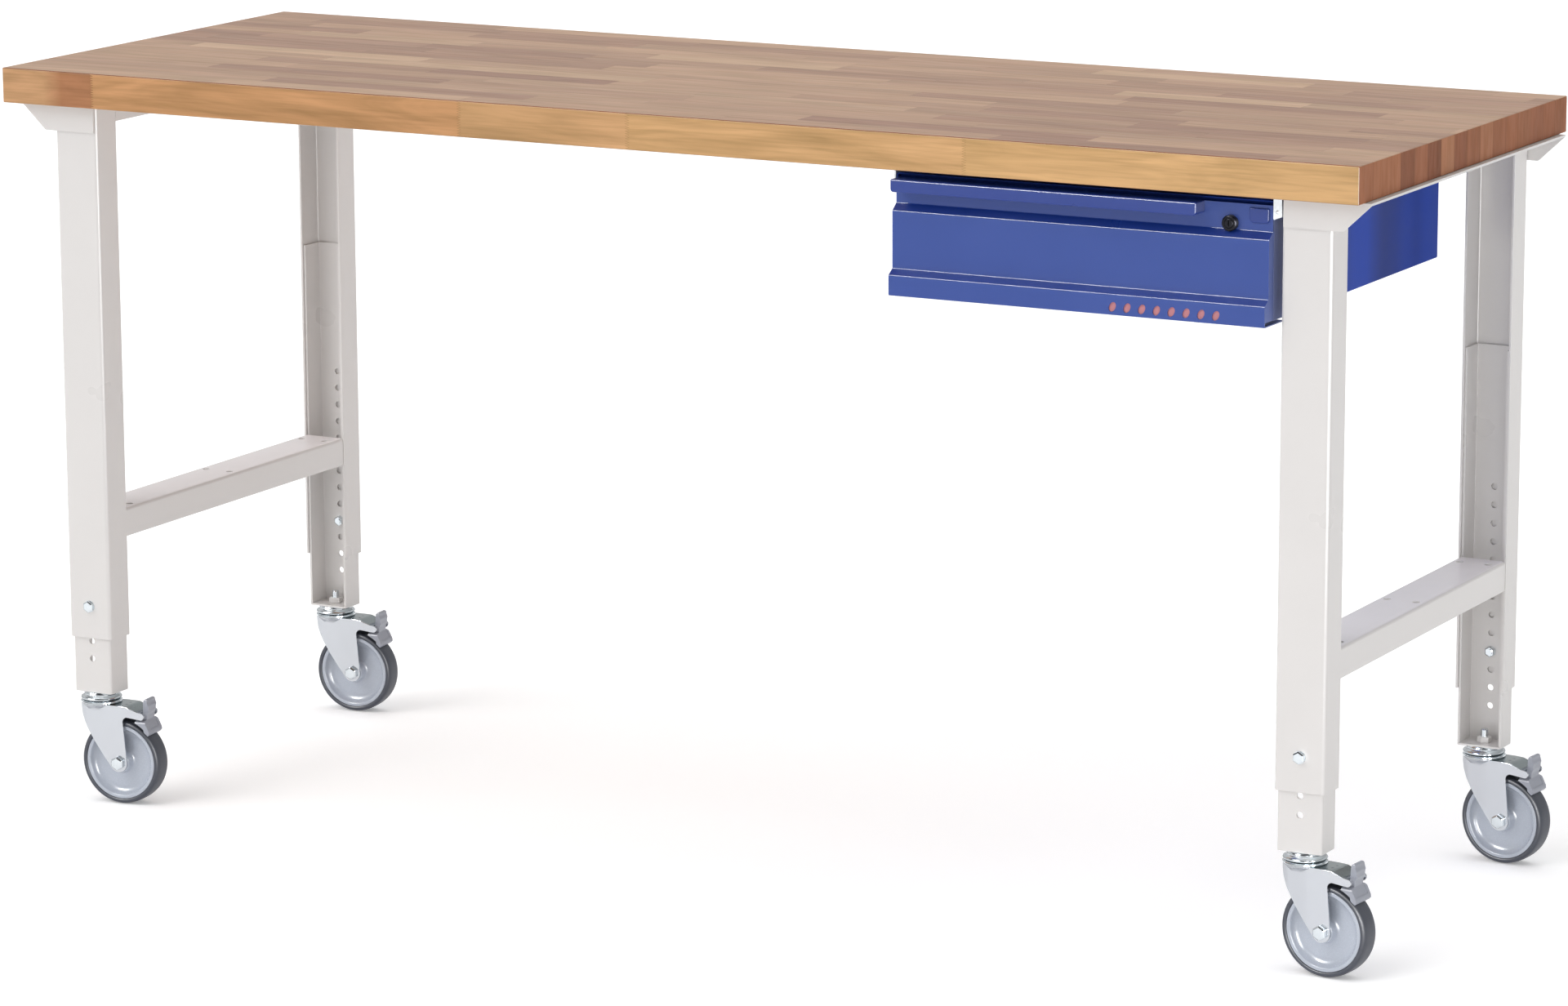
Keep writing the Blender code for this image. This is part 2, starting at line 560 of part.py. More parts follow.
def make_drawer_front(parent, materials):
    """Folded front: hollow grip lip, recessed band, panel, lower band with slots, and a return flange."""
    front = add_object("drawer_front", prism(front_outline(), "X", FRONT_LEFT, FRONT_RIGHT),
                       materials["blue_paint"], parent)
    lip_x = (FRONT_LEFT + 0.004, LIP_RIGHT)
    join(front, drawer_box(lip_x, (0.0, RECESS_Y + SHEET), (LIP_TOP, LIP_BOTTOM)))
    cut(front, drawer_box((lip_x[0] + SHEET, lip_x[1] - SHEET), (SHEET, RECESS_Y - GAP),
                          (LIP_TOP + SHEET, LIP_BOTTOM + 0.001)))
    chamfer = 0.004
    tab = [(TAB_X[0], HEIGHT - FRONT_TOP), (TAB_X[1], HEIGHT - FRONT_TOP), (TAB_X[1], HEIGHT - TAB_BOTTOM + chamfer),
           (TAB_X[1] - chamfer, HEIGHT - TAB_BOTTOM), (TAB_X[0] + chamfer, HEIGHT - TAB_BOTTOM),
           (TAB_X[0], HEIGHT - TAB_BOTTOM + chamfer)]
    tab_y = [RECESS_Y - TAB_PROUD - TOP_DEPTH / 2, RECESS_Y + SHEET / 2 - TOP_DEPTH / 2]
    join(front, prism(tab, "Y", tab_y[0], tab_y[1]))
    slots = bmesh.new()
    for i in range(PERF_COUNT):
        centre = (PERF_FIRST_X + i * PERF_PITCH, HEIGHT - PERF_DEPTH_Z)
        slot = ring_outline(centre, PERF_HALF[0], HOLE_ROUND, 0.0, PERF_HALF[1] / PERF_HALF[0])
        prism(slot, "Y", -TOP_DEPTH / 2 - 0.01, BAND_Y + 0.01 - TOP_DEPTH / 2, slots)
    cut(front, slots)
    lock_hole = ring_outline((LOCK_X, HEIGHT - LOCK_Z), LOCK_R + GAP, SMALL_ROUND)
    cut(front, prism(lock_hole, "Y", -TOP_DEPTH / 2, RECESS_Y - GAP / 3 - TOP_DEPTH / 2))
    barrel_hole = ring_outline((LOCK_X, HEIGHT - LOCK_Z), LOCK_BARREL_R + GAP, SMALL_ROUND)
    cut(front, prism(barrel_hole, "Y", -TOP_DEPTH / 2, RECESS_Y + 0.01 - TOP_DEPTH / 2))


def make_lock(drawer, materials):
    """Black lock housing fixed in the front, and the key plug with its cam, which turn together."""
    face, end = 0.0, LOCK_END_Y - LOCK_FACE_Y
    sheet_front = RECESS_Y - LOCK_FACE_Y - GAP
    axis_y, axis_z = at_drawer(LOCK_FACE_Y, LOCK_Z)
    axis = add_empty("lock_axis", (LOCK_X, axis_y, axis_z), drawer)
    housing = [(LOCK_PLUG_R + GAP, face), (LOCK_R - 0.0015, face), (LOCK_R, face + 0.0015), (LOCK_R, sheet_front),
               (LOCK_BARREL_R, sheet_front), (LOCK_BARREL_R, end), (LOCK_PLUG_R + GAP, end)]
    shade_round(add_object("lock_housing", turned(housing, SMALL_ROUND, True), materials["black_steel"], axis))
    plug_profile = [(0.0, face - 0.0008), (LOCK_PLUG_R, face - 0.0008), (LOCK_PLUG_R, end + 0.001), (0.0, end + 0.001)]
    plug = add_object("lock_plug", turned(plug_profile, SMALL_ROUND, True), materials["black_steel"], axis)
    key_slot = [(-0.0008, -0.0035), (0.0008, -0.0035), (0.0008, 0.0035), (-0.0008, 0.0035)]
    cut(plug, prism(key_slot, "Y", -0.005, 0.006))
    cam_start = end + 0.001 + GAP
    half = CAM_WIDTH / 2
    cam = [(half, -half), (half, half)] + [(-CAM_LENGTH + half, half), (-CAM_LENGTH, 0.001), (-CAM_LENGTH, -0.001),
                                           (-CAM_LENGTH + half, -half)]
    add_object("lock_cam", prism(cam, "Y", cam_start, cam_start + CAM_THICK), materials["zinc"], axis)


def make_drawer_unit(materials):
    make_carcass(materials)
    make_hanger("left_hanger", CARCASS_X[0], 1, materials)
    make_hanger("right_hanger", CARCASS_X[1], -1, materials)
    middle = add_empty("slide_middle_axis", (0, 0, 0))
    drawer = add_empty("drawer_axis", (0, 0, 0))
    parents = {f"{side}_slide_middle": middle for side in ("left", "right")}
    parents |= {f"{side}_slide_drawer": drawer for side in ("left", "right")}
    make_slides("left", CARCASS_X[0] + SHEET, 1, parents, materials)
    make_slides("right", CARCASS_X[1] - SHEET, -1, parents, materials)
    make_drawer_body(drawer, materials)
    make_drawer_front(drawer, materials)
    make_lock(drawer, materials)


def clear_scene():
    for piece in list(bpy.data.objects):
        bpy.data.objects.remove(piece, do_unlink=True)


def main():
    clear_scene()
    materials = make_materials()
    make_worktop(materials)
    make_end_frame("left", -1, materials)
    make_end_frame("right", 1, materials)
    make_drawer_unit(materials)


main()
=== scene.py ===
"""Looks for the mobile workbench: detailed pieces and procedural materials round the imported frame.

Metres, +Z up, +X to the right along the bench, -Y to the front, origin on the floor.
"""

import json
import math

import bmesh
import bpy
from mathutils import Matrix, Vector


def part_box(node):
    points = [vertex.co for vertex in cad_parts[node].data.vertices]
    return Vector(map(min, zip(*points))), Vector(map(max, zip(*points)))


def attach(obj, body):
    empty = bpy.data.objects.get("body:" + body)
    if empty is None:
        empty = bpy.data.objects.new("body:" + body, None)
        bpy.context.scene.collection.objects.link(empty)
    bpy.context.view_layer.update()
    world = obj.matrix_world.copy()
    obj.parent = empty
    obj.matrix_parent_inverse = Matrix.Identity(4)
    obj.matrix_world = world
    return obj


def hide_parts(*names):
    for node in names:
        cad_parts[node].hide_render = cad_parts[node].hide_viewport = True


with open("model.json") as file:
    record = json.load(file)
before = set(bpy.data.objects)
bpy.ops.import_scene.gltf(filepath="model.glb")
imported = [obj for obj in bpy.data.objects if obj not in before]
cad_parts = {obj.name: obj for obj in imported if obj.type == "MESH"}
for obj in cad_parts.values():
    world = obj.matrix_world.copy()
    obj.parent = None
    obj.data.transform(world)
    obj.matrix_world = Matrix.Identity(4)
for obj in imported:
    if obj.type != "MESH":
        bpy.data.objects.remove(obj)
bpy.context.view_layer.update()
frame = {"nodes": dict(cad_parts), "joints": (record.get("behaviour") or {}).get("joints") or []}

# ---- sizes that several pieces share
GAP = 0.0003  # air between pieces that touch
OVER = 0.01  # how far a cutting tool reaches past the metal
STEEL = 0.003  # wall of the frame's bent sections
BEND = 0.005  # outside radius of their bends
SHEET = 0.0015  # wall of the drawer unit's sheet
SHEET_BEND = 0.0022

WORKTOP_LOW, WORKTOP_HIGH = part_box("worktop")
FRONT_Y, SURFACE, UNDERSIDE = WORKTOP_LOW.y, WORKTOP_HIGH.z, WORKTOP_LOW.z
LEG_LOW, LEG_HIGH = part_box("front_right_outer_leg")
LEG_X = (LEG_LOW.x + LEG_HIGH.x) / 2
LEG_WIDTH, LEG_DEPTH = LEG_HIGH.x - LEG_LOW.x, LEG_HIGH.y - LEG_LOW.y
LEG_FACE = -LEG_LOW.y  # centre plane to the front legs' outer face
INNER_LOW, INNER_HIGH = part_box("front_right_inner_leg")
BOLT_LOW, BOLT_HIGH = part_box("front_right_height_bolt")
BOLT_Z = (BOLT_LOW.z + BOLT_HIGH.z) / 2
HOLE_PITCH, HOLE_COUNT, HOLE_RADIUS = 0.025, 13, 0.0045
FIRST_HOLE_Z = BOLT_Z - 3 * HOLE_PITCH  # the bolt is in the fourth hole

STAVES_ACROSS = 16
STAVE_WIDTH = (WORKTOP_HIGH.y - WORKTOP_LOW.y) / STAVES_ACROSS
FRONT_JOINTS = (-0.8625, -0.2802, -0.0268, 0.4576)  # finger joints along the front edge
HEARTWOOD = (-0.945, -0.8625)  # a darker stretch of the edge, up to its first joint

JOINTS = {joint["name"]: joint for joint in frame["joints"]}
SIDES = (("left", -1), ("right", 1))
CORNERS = {f"{row}_{side}": (front, right) for row, front in (("front", -1), ("rear", 1))
           for side, right in SIDES}


def from_swivel(joint_name):
    """How far a castor joint lies behind the swivel axis, and its height."""
    here, stem = Vector(JOINTS[joint_name]["pos_m"]), Vector(JOINTS["front_right_castor_swivel"]["pos_m"])
    return ((here - stem).xy.length, here.z)


# castors, measured from the swivel axis (x), across the wheel (y) and from the floor (z)
AXLE = from_swivel("front_right_wheel_roll")
PEDAL_PIVOT = from_swivel("front_right_brake_release")
FORK_INSIDE, FORK_WALL, FORK_TOP = 0.037, 0.0025, 0.1413
FORK_HALF = FORK_INSIDE / 2 + FORK_WALL
WHEEL_FROM_PEDAL = (AXLE[0] - PEDAL_PIVOT[0], AXLE[1] - PEDAL_PIVOT[1])
PIN_HOLE = 0.0063  # radius of the holes for the axle and the kingpin
STEM_HOLE = 0.0053  # and for the stem
CREASE = 0.0135  # where the fork's sides turn in towards the leading edge
ARM_END = (0.066, 0.1344)  # upper corner of the arm that carries the pedal
FOOT = INNER_LOW.z


# ---- material helpers
def srgb(red, green, blue):
    """A colour given as 0-255 display values, as linear light."""
    def linear(value):
        share = value / 255
        return share / 12.92 if share <= 0.04045 else ((share + 0.055) / 1.055) ** 2.4
    return (linear(red), linear(green), linear(blue), 1.0)


def configured(made, settings):
    for key, value in settings.items():
        setattr(made, key, value)
    return made


class Graph:
    """Short names for the nodes that a material, or the world, is wired from."""

    def __init__(self, owner, shader="Principled BSDF"):
        owner.use_nodes = True
        self.owner = owner
        self.tree = owner.node_tree
        self.shader = self.tree.nodes[shader]

    def node(self, kind, inputs=None, **settings):
        made = configured(self.tree.nodes.new("ShaderNode" + kind), settings)
        for key, value in (inputs or {}).items():
            self.feed(made.inputs[key], value)
        return made

    def feed(self, socket, value):
        if isinstance(value, bpy.types.NodeSocket):
            self.tree.links.new(value, socket)
        else:
            socket.default_value = value

    def maths(self, operation, *values):
        return self.node("Math", dict(enumerate(values)), operation=operation).outputs[0]

    def times(self, first, second):
        return self.maths("MULTIPLY", first, second)

    def position(self):
        """The point's X, Y and Z in metres."""
        place = self.node("TexCoord").outputs["Object"]
        split = self.node("SeparateXYZ", {0: place})
        return place, split.outputs[0], split.outputs[1], split.outputs[2]

    def vector(self, x, y, z):
        return self.node("CombineXYZ", {0: x, 1: y, 2: z}).outputs[0]

    def noise(self, place, scale, detail=3.0, distortion=0.0):
        inputs = {"Vector": place, "Scale": scale, "Detail": detail, "Distortion": distortion}
        return self.node("TexNoise", inputs).outputs["Fac"]

    def random(self, place):
        return self.node("TexWhiteNoise", {"Vector": place}, noise_dimensions="3D").outputs["Value"]

    def ramp(self, value, stops, interpolation="LINEAR"):
        made = self.node("ValToRGB", {0: value})
        ramp = made.color_ramp
        ramp.interpolation = interpolation
        while len(ramp.elements) < len(stops):
            ramp.elements.new(0.5)
        for element, (position, colour) in zip(ramp.elements, stops):
            element.position = position
            element.color = colour
        return made.outputs[0]

    def between(self, value, from_low, from_high, to_low, to_high):
        return self.node("MapRange", dict(enumerate((value, from_low, from_high, to_low, to_high)))).outputs[0]

    def mix(self, share, first, second, blend="MIX"):
        inputs = {0: share, 6: first, 7: second}
        return self.node("Mix", inputs, data_type="RGBA", blend_type=blend).outputs[2]

    def shaded(self, colour, shade, blue_shade=None):
        """The colour times a shade; the blue in it can have a shade of its own."""
        factors = {0: shade, 1: shade, 2: shade if blue_shade is None else blue_shade}
        return self.mix(1.0, colour, self.node("CombineColor", factors).outputs[0], "MULTIPLY")

    def bump(self, height, strength, distance):
        inputs = {"Height": height, "Strength": strength, "Distance": distance}
        self.feed(self.shader.inputs["Normal"], self.node("Bump", inputs).outputs[0])

    def set(self, **values):
        for key, value in values.items():
            self.feed(self.shader.inputs[key.replace("_", " ")], value)
        return self.owner


def material_graph(name):
    return Graph(bpy.data.materials.new(name))


# ---- materials
def front_staves(graph, x, z):
    """The worktop's front edge: long staves in zigzag finger joints, and a darker stretch of heartwood."""
    reach = graph.maths("ADD", x, graph.times(graph.maths("PINGPONG", z, 0.0016), 3.6))
    stave = joint_line = 0.0
    for joint in FRONT_JOINTS:
        stave = graph.maths("ADD", stave, graph.maths("GREATER_THAN", reach, joint))
        distance = graph.maths("ABSOLUTE", graph.maths("SUBTRACT", reach, joint))
        joint_line = graph.maths("ADD", joint_line, graph.maths("LESS_THAN", distance, 0.0007))
    heartwood = graph.between(x, HEARTWOOD[0], HEARTWOOD[0] + 0.03, 0.0, 1.0)
    heartwood = graph.times(heartwood, graph.maths("LESS_THAN", reach, HEARTWOOD[1]))
    return stave, graph.times(joint_line, 0.3), heartwood


def top_staves(graph, x, row, across):
    """The worktop's surface: each row of staves has its own length of stave, and starts at its own place."""
    row_random = graph.random(graph.vector(row, 0.3, 0.7))
    length = graph.between(row_random, 0.0, 1.0, 0.26, 0.52)
    start = graph.times(row_random, 9.7)
    along = graph.maths("ADD", graph.maths("DIVIDE", x, length), start)
    edge = graph.maths("LESS_THAN", across, 0.012)
    butt = graph.maths("LESS_THAN", graph.times(graph.maths("FRACT", along), length), 0.0006)
    return graph.maths("FLOOR", along), graph.times(graph.maths("MAXIMUM", edge, butt), 0.3)


def wood(name, tones, side, streaks, roughness, sheen):
    """Oiled beech. The stave that a point lies in gives its tone, and the grain runs along the stave."""
    graph = material_graph(name)
    place, x, y, z = graph.position()
    rows = graph.maths("DIVIDE", graph.maths("SUBTRACT", y, FRONT_Y), STAVE_WIDTH)
    row, across = graph.maths("FLOOR", rows), graph.maths("FRACT", rows)
    if side == "front":
        stave, seam, heartwood = front_staves(graph, x, z)
        seed = graph.vector(stave, 3.7, 1.3)
    elif side == "top":
        cell, seam = top_staves(graph, x, row, across)
        seed = graph.vector(row, cell, 0.5)
    else:
        seam = graph.times(graph.maths("LESS_THAN", across, 0.014), 0.45)
        seed = graph.vector(row, 5.1, 2.9)
    lot = graph.random(seed)
    offset = graph.times(lot, 40.0)
    if side == "front":
        colour = graph.ramp(graph.maths("DIVIDE", stave, len(FRONT_JOINTS)), tones)
        colour = graph.mix(graph.times(heartwood, 0.85), colour, srgb(150, 97, 60))
    else:
        colour = graph.ramp(lot, tones)

    shifted = graph.node("VectorMath", {0: place, 1: graph.vector(offset, offset, offset)}).outputs[0]
    broad_stretch, fine_stretch = (3.2, 24.0, 24.0), (9.0, 260.0, 260.0)
    if side == "end":
        broad_stretch, fine_stretch = (40.0, 16.0, 2.2), (260.0, 150.0, 26.0)
    broad_place, fine_place = (
        graph.node("VectorMath", {0: shifted, 1: stretch}, operation="MULTIPLY").outputs[0]
        for stretch in (broad_stretch, fine_stretch))
    broad = graph.noise(broad_place, 1.0, 4.0, 1.6)
    pores = graph.noise(fine_place, 1.0, 2.0, 0.2)
    figure = graph.between(broad, 0.3, 0.72, 1.0 - streaks, 1.0 + streaks * 0.7)
    flecks = graph.between(pores, 0.3, 0.56, 1.0 - streaks * 0.55, 1.0)
    shade = graph.times(graph.times(figure, flecks), graph.maths("SUBTRACT", 1.0, seam))
    colour = graph.shaded(colour, shade, graph.maths("POWER", shade, 1.35))
    graph.bump(graph.maths("ADD", pores, graph.times(broad, 0.4)), 0.1, 0.0004)
    rough = graph.between(pores, 0.3, 0.7, roughness + 0.06, roughness - 0.05)
    return graph.set(Base_Color=colour, Roughness=rough, Specular_IOR_Level=sheen)


def paint(name, colour, roughness, speck, painted_reflection_bands=0.0, specular=0.5):
    """Powder coat with a slight orange peel. Bands are for the housing: soft bands of painted reflection along
    it, and painted light that makes its lower front edge paler.
    """
    graph = material_graph(name)
    place, _, y, z = graph.position()
    cloud = graph.noise(place, 9.0, 3.0)
    shade = graph.between(cloud, 0.3, 0.7, 1.0 - speck, 1.0 + speck)
    # the housing's painted reflection: soft light and dark bands along Y; then painted light that mixes its
    # lower front edge towards a paler blue
    if painted_reflection_bands > 0.0:
        band = graph.noise(graph.vector(0.0, graph.times(y, 8.0), 0.0), 1.0, 1.0)
        shade = graph.times(shade, graph.between(band, 0.35, 0.65, 1.0 - painted_reflection_bands, 1.0 + painted_reflection_bands))
        front = graph.between(y, FRONT_Y + 0.055, FRONT_Y + 0.1, 0.8, 0.0)
        front = graph.times(front, graph.maths("LESS_THAN", z, SURFACE - 0.062))
        colour = graph.mix(front, colour, srgb(138, 148, 190))
    graph.bump(graph.noise(place, 850.0, 2.0), 0.05, 0.0002)
    rough = graph.between(cloud, 0.3, 0.7, roughness - 0.03, roughness + 0.04)
    return graph.set(Base_Color=graph.shaded(colour, shade), Roughness=rough, Specular_IOR_Level=specular)


def plated(name, colour, roughness, mottle, crystal_scale):
    """Zinc plate or galvanised sheet, with the faint cloudiness that it has."""
    graph = material_graph(name)
    cloud = graph.noise(graph.position()[0], crystal_scale, 4.0, 0.4)
    shade = graph.between(cloud, 0.3, 0.7, 1.0 - mottle, 1.0 + mottle * 0.5)
    rough = graph.between(cloud, 0.3, 0.7, roughness + mottle * 0.6, roughness - mottle * 0.4)
    graph.bump(cloud, 0.03, 0.0002)
    return graph.set(Base_Color=graph.shaded(colour, shade), Roughness=rough, Metallic=1.0)


def moulded(name, colour, roughness, grain, bump):
    """Moulded plastic or rubber with a fine surface grain."""
    graph = material_graph(name)
    place = graph.position()[0]
    skin = graph.noise(place, grain, 3.0)
    cloud = graph.noise(place, 14.0, 2.0)
    shade = graph.between(cloud, 0.3, 0.7, 0.955, 1.03)
    graph.bump(skin, bump, 0.0003)
    rough = graph.between(skin, 0.35, 0.65, roughness - 0.05, roughness + 0.06)
    return graph.set(Base_Color=graph.shaded(colour, shade), Roughness=rough)


def tone_stops(*stops):
    return [(position, srgb(*colour)) for position, colour in stops]


def make_materials():
    top = tone_stops((0.0, (156, 115, 88)), (0.25, (184, 145, 113)), (0.5, (170, 130, 101)),
                     (0.75, (152, 109, 84)), (1.0, (199, 163, 128)))
    edge = tone_stops((0.0, (184, 140, 98)), (0.25, (182, 134, 88)), (0.5, (188, 145, 99)),
                      (0.75, (192, 150, 101)), (1.0, (195, 154, 103)))
    end = tone_stops((0.0, (122, 70, 45)), (0.35, (162, 104, 71)), (0.6, (140, 86, 57)), (1.0, (172, 118, 84)))
    materials = {
        "beech_top": wood("beech_top", top, "top", 0.17, 0.4, 0.6),
        "beech_edge": wood("beech_edge", edge, "front", 0.27, 0.44, 0.25),
        "beech_end": wood("beech_end", end, "end", 0.18, 0.55, 0.12),
    }
    others = [
        (paint, "grey_paint", (208, 205, 203), 0.3, 0.01),
        # a paler copy of the grey: painted light on the crossbars' upward faces
        (paint, "top_paint_painted_light", (238, 234, 236), 0.24, 0.01),
        (paint, "blue_paint", (26, 61, 141), 0.33, 0.03),
        # the housing's blue: its base is deeper than the drawer front's, with painted reflection bands and
        # painted light on its front edge
        (paint, "housing_paint_painted_light", (20, 52, 138), 0.36, 0.03, 0.35, 0.06),
        # a paler copy of the drawer blue: painted light on the drawer front's ends
        (paint, "fold_paint_painted_light", (92, 108, 168), 0.33, 0.03),
        # a deeper blue: painted shade on the chamfers under the worktop, and the colour of the lip and the tab
        (paint, "deep_blue_and_painted_shade_paint", (15, 49, 130), 0.3, 0.03),
        (plated, "zinc_plate", (188, 191, 196), 0.25, 0.012, 45.0),
        # darker zinc: a painted dark reflection on the fork's top
        (plated, "zinc_painted_dark_reflection", (138, 147, 149), 0.16, 0.1, 60.0),
        (plated, "bright_zinc", (206, 212, 216), 0.12, 0.05, 90.0),
        (plated, "galvanised", (206, 210, 212), 0.38, 0.14, 130.0),
        (plated, "spring_steel", (70, 72, 76), 0.3, 0.1, 90.0),
        (plated, "lock_black", (38, 38, 42), 0.28, 0.04, 200.0),
        (moulded, "wheel_plastic", (174, 180, 191), 0.24, 900.0, 0.04),
        (moulded, "tread_rubber", (58, 62, 73), 0.42, 1100.0, 0.08),
        (moulded, "pedal_plastic", (148, 151, 161), 0.36, 900.0, 0.05),
        (moulded, "backing_red", (178, 104, 112), 0.6, 700.0, 0.05),
    ]
    for maker, name, colour, *settings in others:
        materials[name] = maker(name, srgb(*colour), *settings)
    return materials


MATERIALS = make_materials()


# ---- outlines
def fillet(outline, radii, steps=5):
    """Rounds an outline's corners, one radius for each; 0 leaves a corner sharp."""
    rounded = []
    for i, (corner, radius) in enumerate(zip(outline, radii)):
        here = Vector(corner)
        if radius <= 0.0:
            rounded.append(here)
            continue
        back = (Vector(outline[i - 1]) - here).normalized()
        ahead = (Vector(outline[(i + 1) % len(outline)]) - here).normalized()
        half = back.angle(ahead) / 2
        centre = here + (back + ahead).normalized() * radius / math.sin(half)
        first = here + back * radius / math.tan(half) - centre
        last = here + ahead * radius / math.tan(half) - centre
        turn = math.atan2(first.x * last.y - first.y * last.x, first.dot(last))
        for step in range(steps + 1):
            rounded.append(centre + Matrix.Rotation(turn * step / steps, 2) @ first)
    return [(point.x, point.y) for point in rounded]


def arc(centre, radius, start_deg, end_deg, steps):
    points = []
    for step in range(steps + 1):
        angle = math.radians(start_deg + (end_deg - start_deg) * step / steps)
        points.append((centre[0] + radius * math.cos(angle), centre[1] + radius * math.sin(angle)))
    return points


def circle(centre, radius, facets=32, squash=1.0):
    angles = [2 * math.pi * i / facets for i in range(facets)]
    return [(centre[0] + radius * math.cos(a), centre[1] + squash * radius * math.sin(a)) for a in angles]


def rectangle(low, high):
    return [(low[0], low[1]), (high[0], low[1]), (high[0], high[1]), (low[0], high[1])]


# ---- meshes
def loft(rings, axis, into=None):
    """Joins up outlines, each at its own place along an axis, and closes the ends.

    The outlines have as many points as each other. Their two coordinates are the other two axes, in order.
    """
    solid = into or bmesh.new()

    def at(u, v, w):
        return {"X": (w, u, v), "Y": (u, w, v), "Z": (u, v, w)}[axis]
    loops = [[solid.verts.new(at(u, v, w)) for u, v in outline] for outline, w in rings]
    faces = [solid.faces.new(loops[0]), solid.faces.new(list(reversed(loops[-1])))]
    for near, far in zip(loops, loops[1:]):
        for i in range(len(near)):
            j = (i + 1) % len(near)
            faces.append(solid.faces.new((near[j], near[i], far[i], far[j])))
    bmesh.ops.recalc_face_normals(solid, faces=faces)
    return solid


def prism(outline, axis, start, end, into=None):
    return loft([(outline, start), (outline, end)], axis, into)


def box(low, high):
    return prism(rectangle(low, high), "Z", low[2], high[2])


def turned(profile, facets=64, along_y=False, centre=(0, 0, 0)):
    """(radius, height) points turned about Z, or about Y. A profile is a loop, or runs from axis to axis."""
    solid = bmesh.new()
    rings = []
    for radius, height in profile:
        if radius == 0.0:
            rings.append([solid.verts.new((0, 0, height))] * facets)
        else:
            rings.append([solid.verts.new((x, y, height)) for x, y in circle((0, 0), radius, facets)])
    closed = profile[0][0] > 0.0
    for ring, following in list(zip(rings, rings[1:])) + ([(rings[-1], rings[0])] if closed else []):
        for i in range(facets):
            j = (i + 1) % facets
            corners = (ring[i], ring[j], following[j], following[i])
            solid.faces.new(list(dict.fromkeys(corners)))    # three corners next to the axis
    if along_y:
        bmesh.ops.rotate(solid, verts=solid.verts, matrix=Matrix.Rotation(-math.pi / 2, 3, "X"))
    bmesh.ops.translate(solid, verts=solid.verts, vec=centre)
    bmesh.ops.recalc_face_normals(solid, faces=solid.faces)
    return solid


def round_rim(solid, axis, value, width, segments=4):
    """Rounds the edges that lie where X, Y or Z (axis 0, 1 or 2) has this value."""
    rim = [edge for edge in solid.edges if all(abs(v.co[axis] - value) < 1e-6 for v in edge.verts)]
    bmesh.ops.bevel(solid, geom=rim, offset=width, segments=segments, profile=0.5, affect="EDGES")


def add_object(name, data):
    piece = bpy.data.objects.new(name, data)
    bpy.context.collection.objects.link(piece)
    return piece


def temporary(solid):
    mesh = bpy.data.meshes.new("temporary")
    solid.to_mesh(mesh)
    solid.free()
    return add_object("temporary", mesh)


def reopened(mesh):
    """A finished mesh as an editable solid again. The mesh itself goes."""
    solid = bmesh.new()
    solid.from_mesh(mesh)
    bpy.data.meshes.remove(mesh)
    return solid


def add_modifier(piece, kind, **settings):
    configured(piece.modifiers.new(kind.lower(), kind), settings)


def modified(piece, helpers=()):
    """The mesh that a piece's modifiers make. The piece and its helpers go."""
    bpy.context.view_layer.update()
    mesh = bpy.data.meshes.new_from_object(piece.evaluated_get(bpy.context.evaluated_depsgraph_get()))
    for spare in [piece, *helpers]:
        spare_mesh = spare.data
        bpy.data.objects.remove(spare, do_unlink=True)
        bpy.data.meshes.remove(spare_mesh)
    return mesh


def cut(*tools):
    return [("DIFFERENCE", tool) for tool in tools]


def join(*tools):
    return [("UNION", tool) for tool in tools]


def shape(name, material, solid, tools=(), edge=0.0, segments=2, crease_deg=32.0):
    """Finishes a mesh: cuts or joins the tools one by one, eases the sharp edges and shades it smooth."""
    piece = temporary(solid)
    helpers = []
    for operation, tool_mesh in tools:
        helpers.append(temporary(tool_mesh))
        add_modifier(piece, "BOOLEAN", operation=operation, solver="EXACT", object=helpers[-1])
    if edge > 0.0:
        add_modifier(piece, "BEVEL", width=edge, segments=segments, limit_method="ANGLE",
                     angle_limit=math.radians(crease_deg), use_clamp_overlap=True)
    mesh = modified(piece, helpers)
    mesh.shade_smooth()
    mesh.set_sharp_from_angle(angle=math.radians(crease_deg))
    # the large faces keep their own normals, so that only the bends between them shade round
    piece = add_object("temporary", mesh)
    add_modifier(piece, "WEIGHTED_NORMAL", keep_sharp=True)
    mesh = modified(piece)
    mesh.name = name
    mesh.materials.clear()
    mesh.materials.append(MATERIALS[material])
    return mesh


def repaint(mesh, material, chosen):
    """Gives another material to the faces that a test picks by their normal and centre."""
    mesh.materials.append(MATERIALS[material])
    for face in mesh.polygons:
        if face.material_index == 0 and chosen(face.normal, face.center):
            face.material_index = len(mesh.materials) - 1


def place(name, mesh, body, slot, nodes=(), at=None):
    """Puts a finished mesh in the scene, on its body, in place of the CAD nodes that it stands for."""
    piece = add_object(name, mesh)
    if at is not None:
        piece.matrix_world = at
    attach(piece, body)
    if nodes:
        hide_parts(*nodes)


def add_piece(name, material, solid, body, slot, nodes=(), tools=(), at=None, **finish):
    place(name, shape(name, material, solid, tools, **finish), body, slot, nodes, at)


# ---- worktop
def make_worktop():
    solid = box(WORKTOP_LOW, WORKTOP_HIGH)
    mesh = shape("worktop_board", "beech_top", solid, edge=0.0016, segments=3, crease_deg=50.0)
    repaint(mesh, "beech_edge", lambda normal, centre: abs(normal.y) > 0.8)
    # the end grain's dark tone also goes on the arris between the surface and the front edge
    repaint(mesh, "beech_end",
            lambda normal, centre: abs(normal.x) > 0.8 or (normal.y < -0.2 and normal.z > 0.2))
    place("worktop_board", mesh, "bench", "worktop", ["worktop"])


# ---- end frames
def channel(width, depth, wall, bend, web_y):
    """A C-section, its web at web_y and its open side towards +Y."""
    half = width / 2
    outline = [(-half, web_y), (half, web_y), (half, web_y + depth), (half - wall, web_y + depth),
               (half - wall, web_y + wall), (-half + wall, web_y + wall), (-half + wall, web_y + depth),
               (-half, web_y + depth)]
    return fillet(outline, [bend, bend, 0, 0, bend - wall, bend - wall, 0, 0], 6)


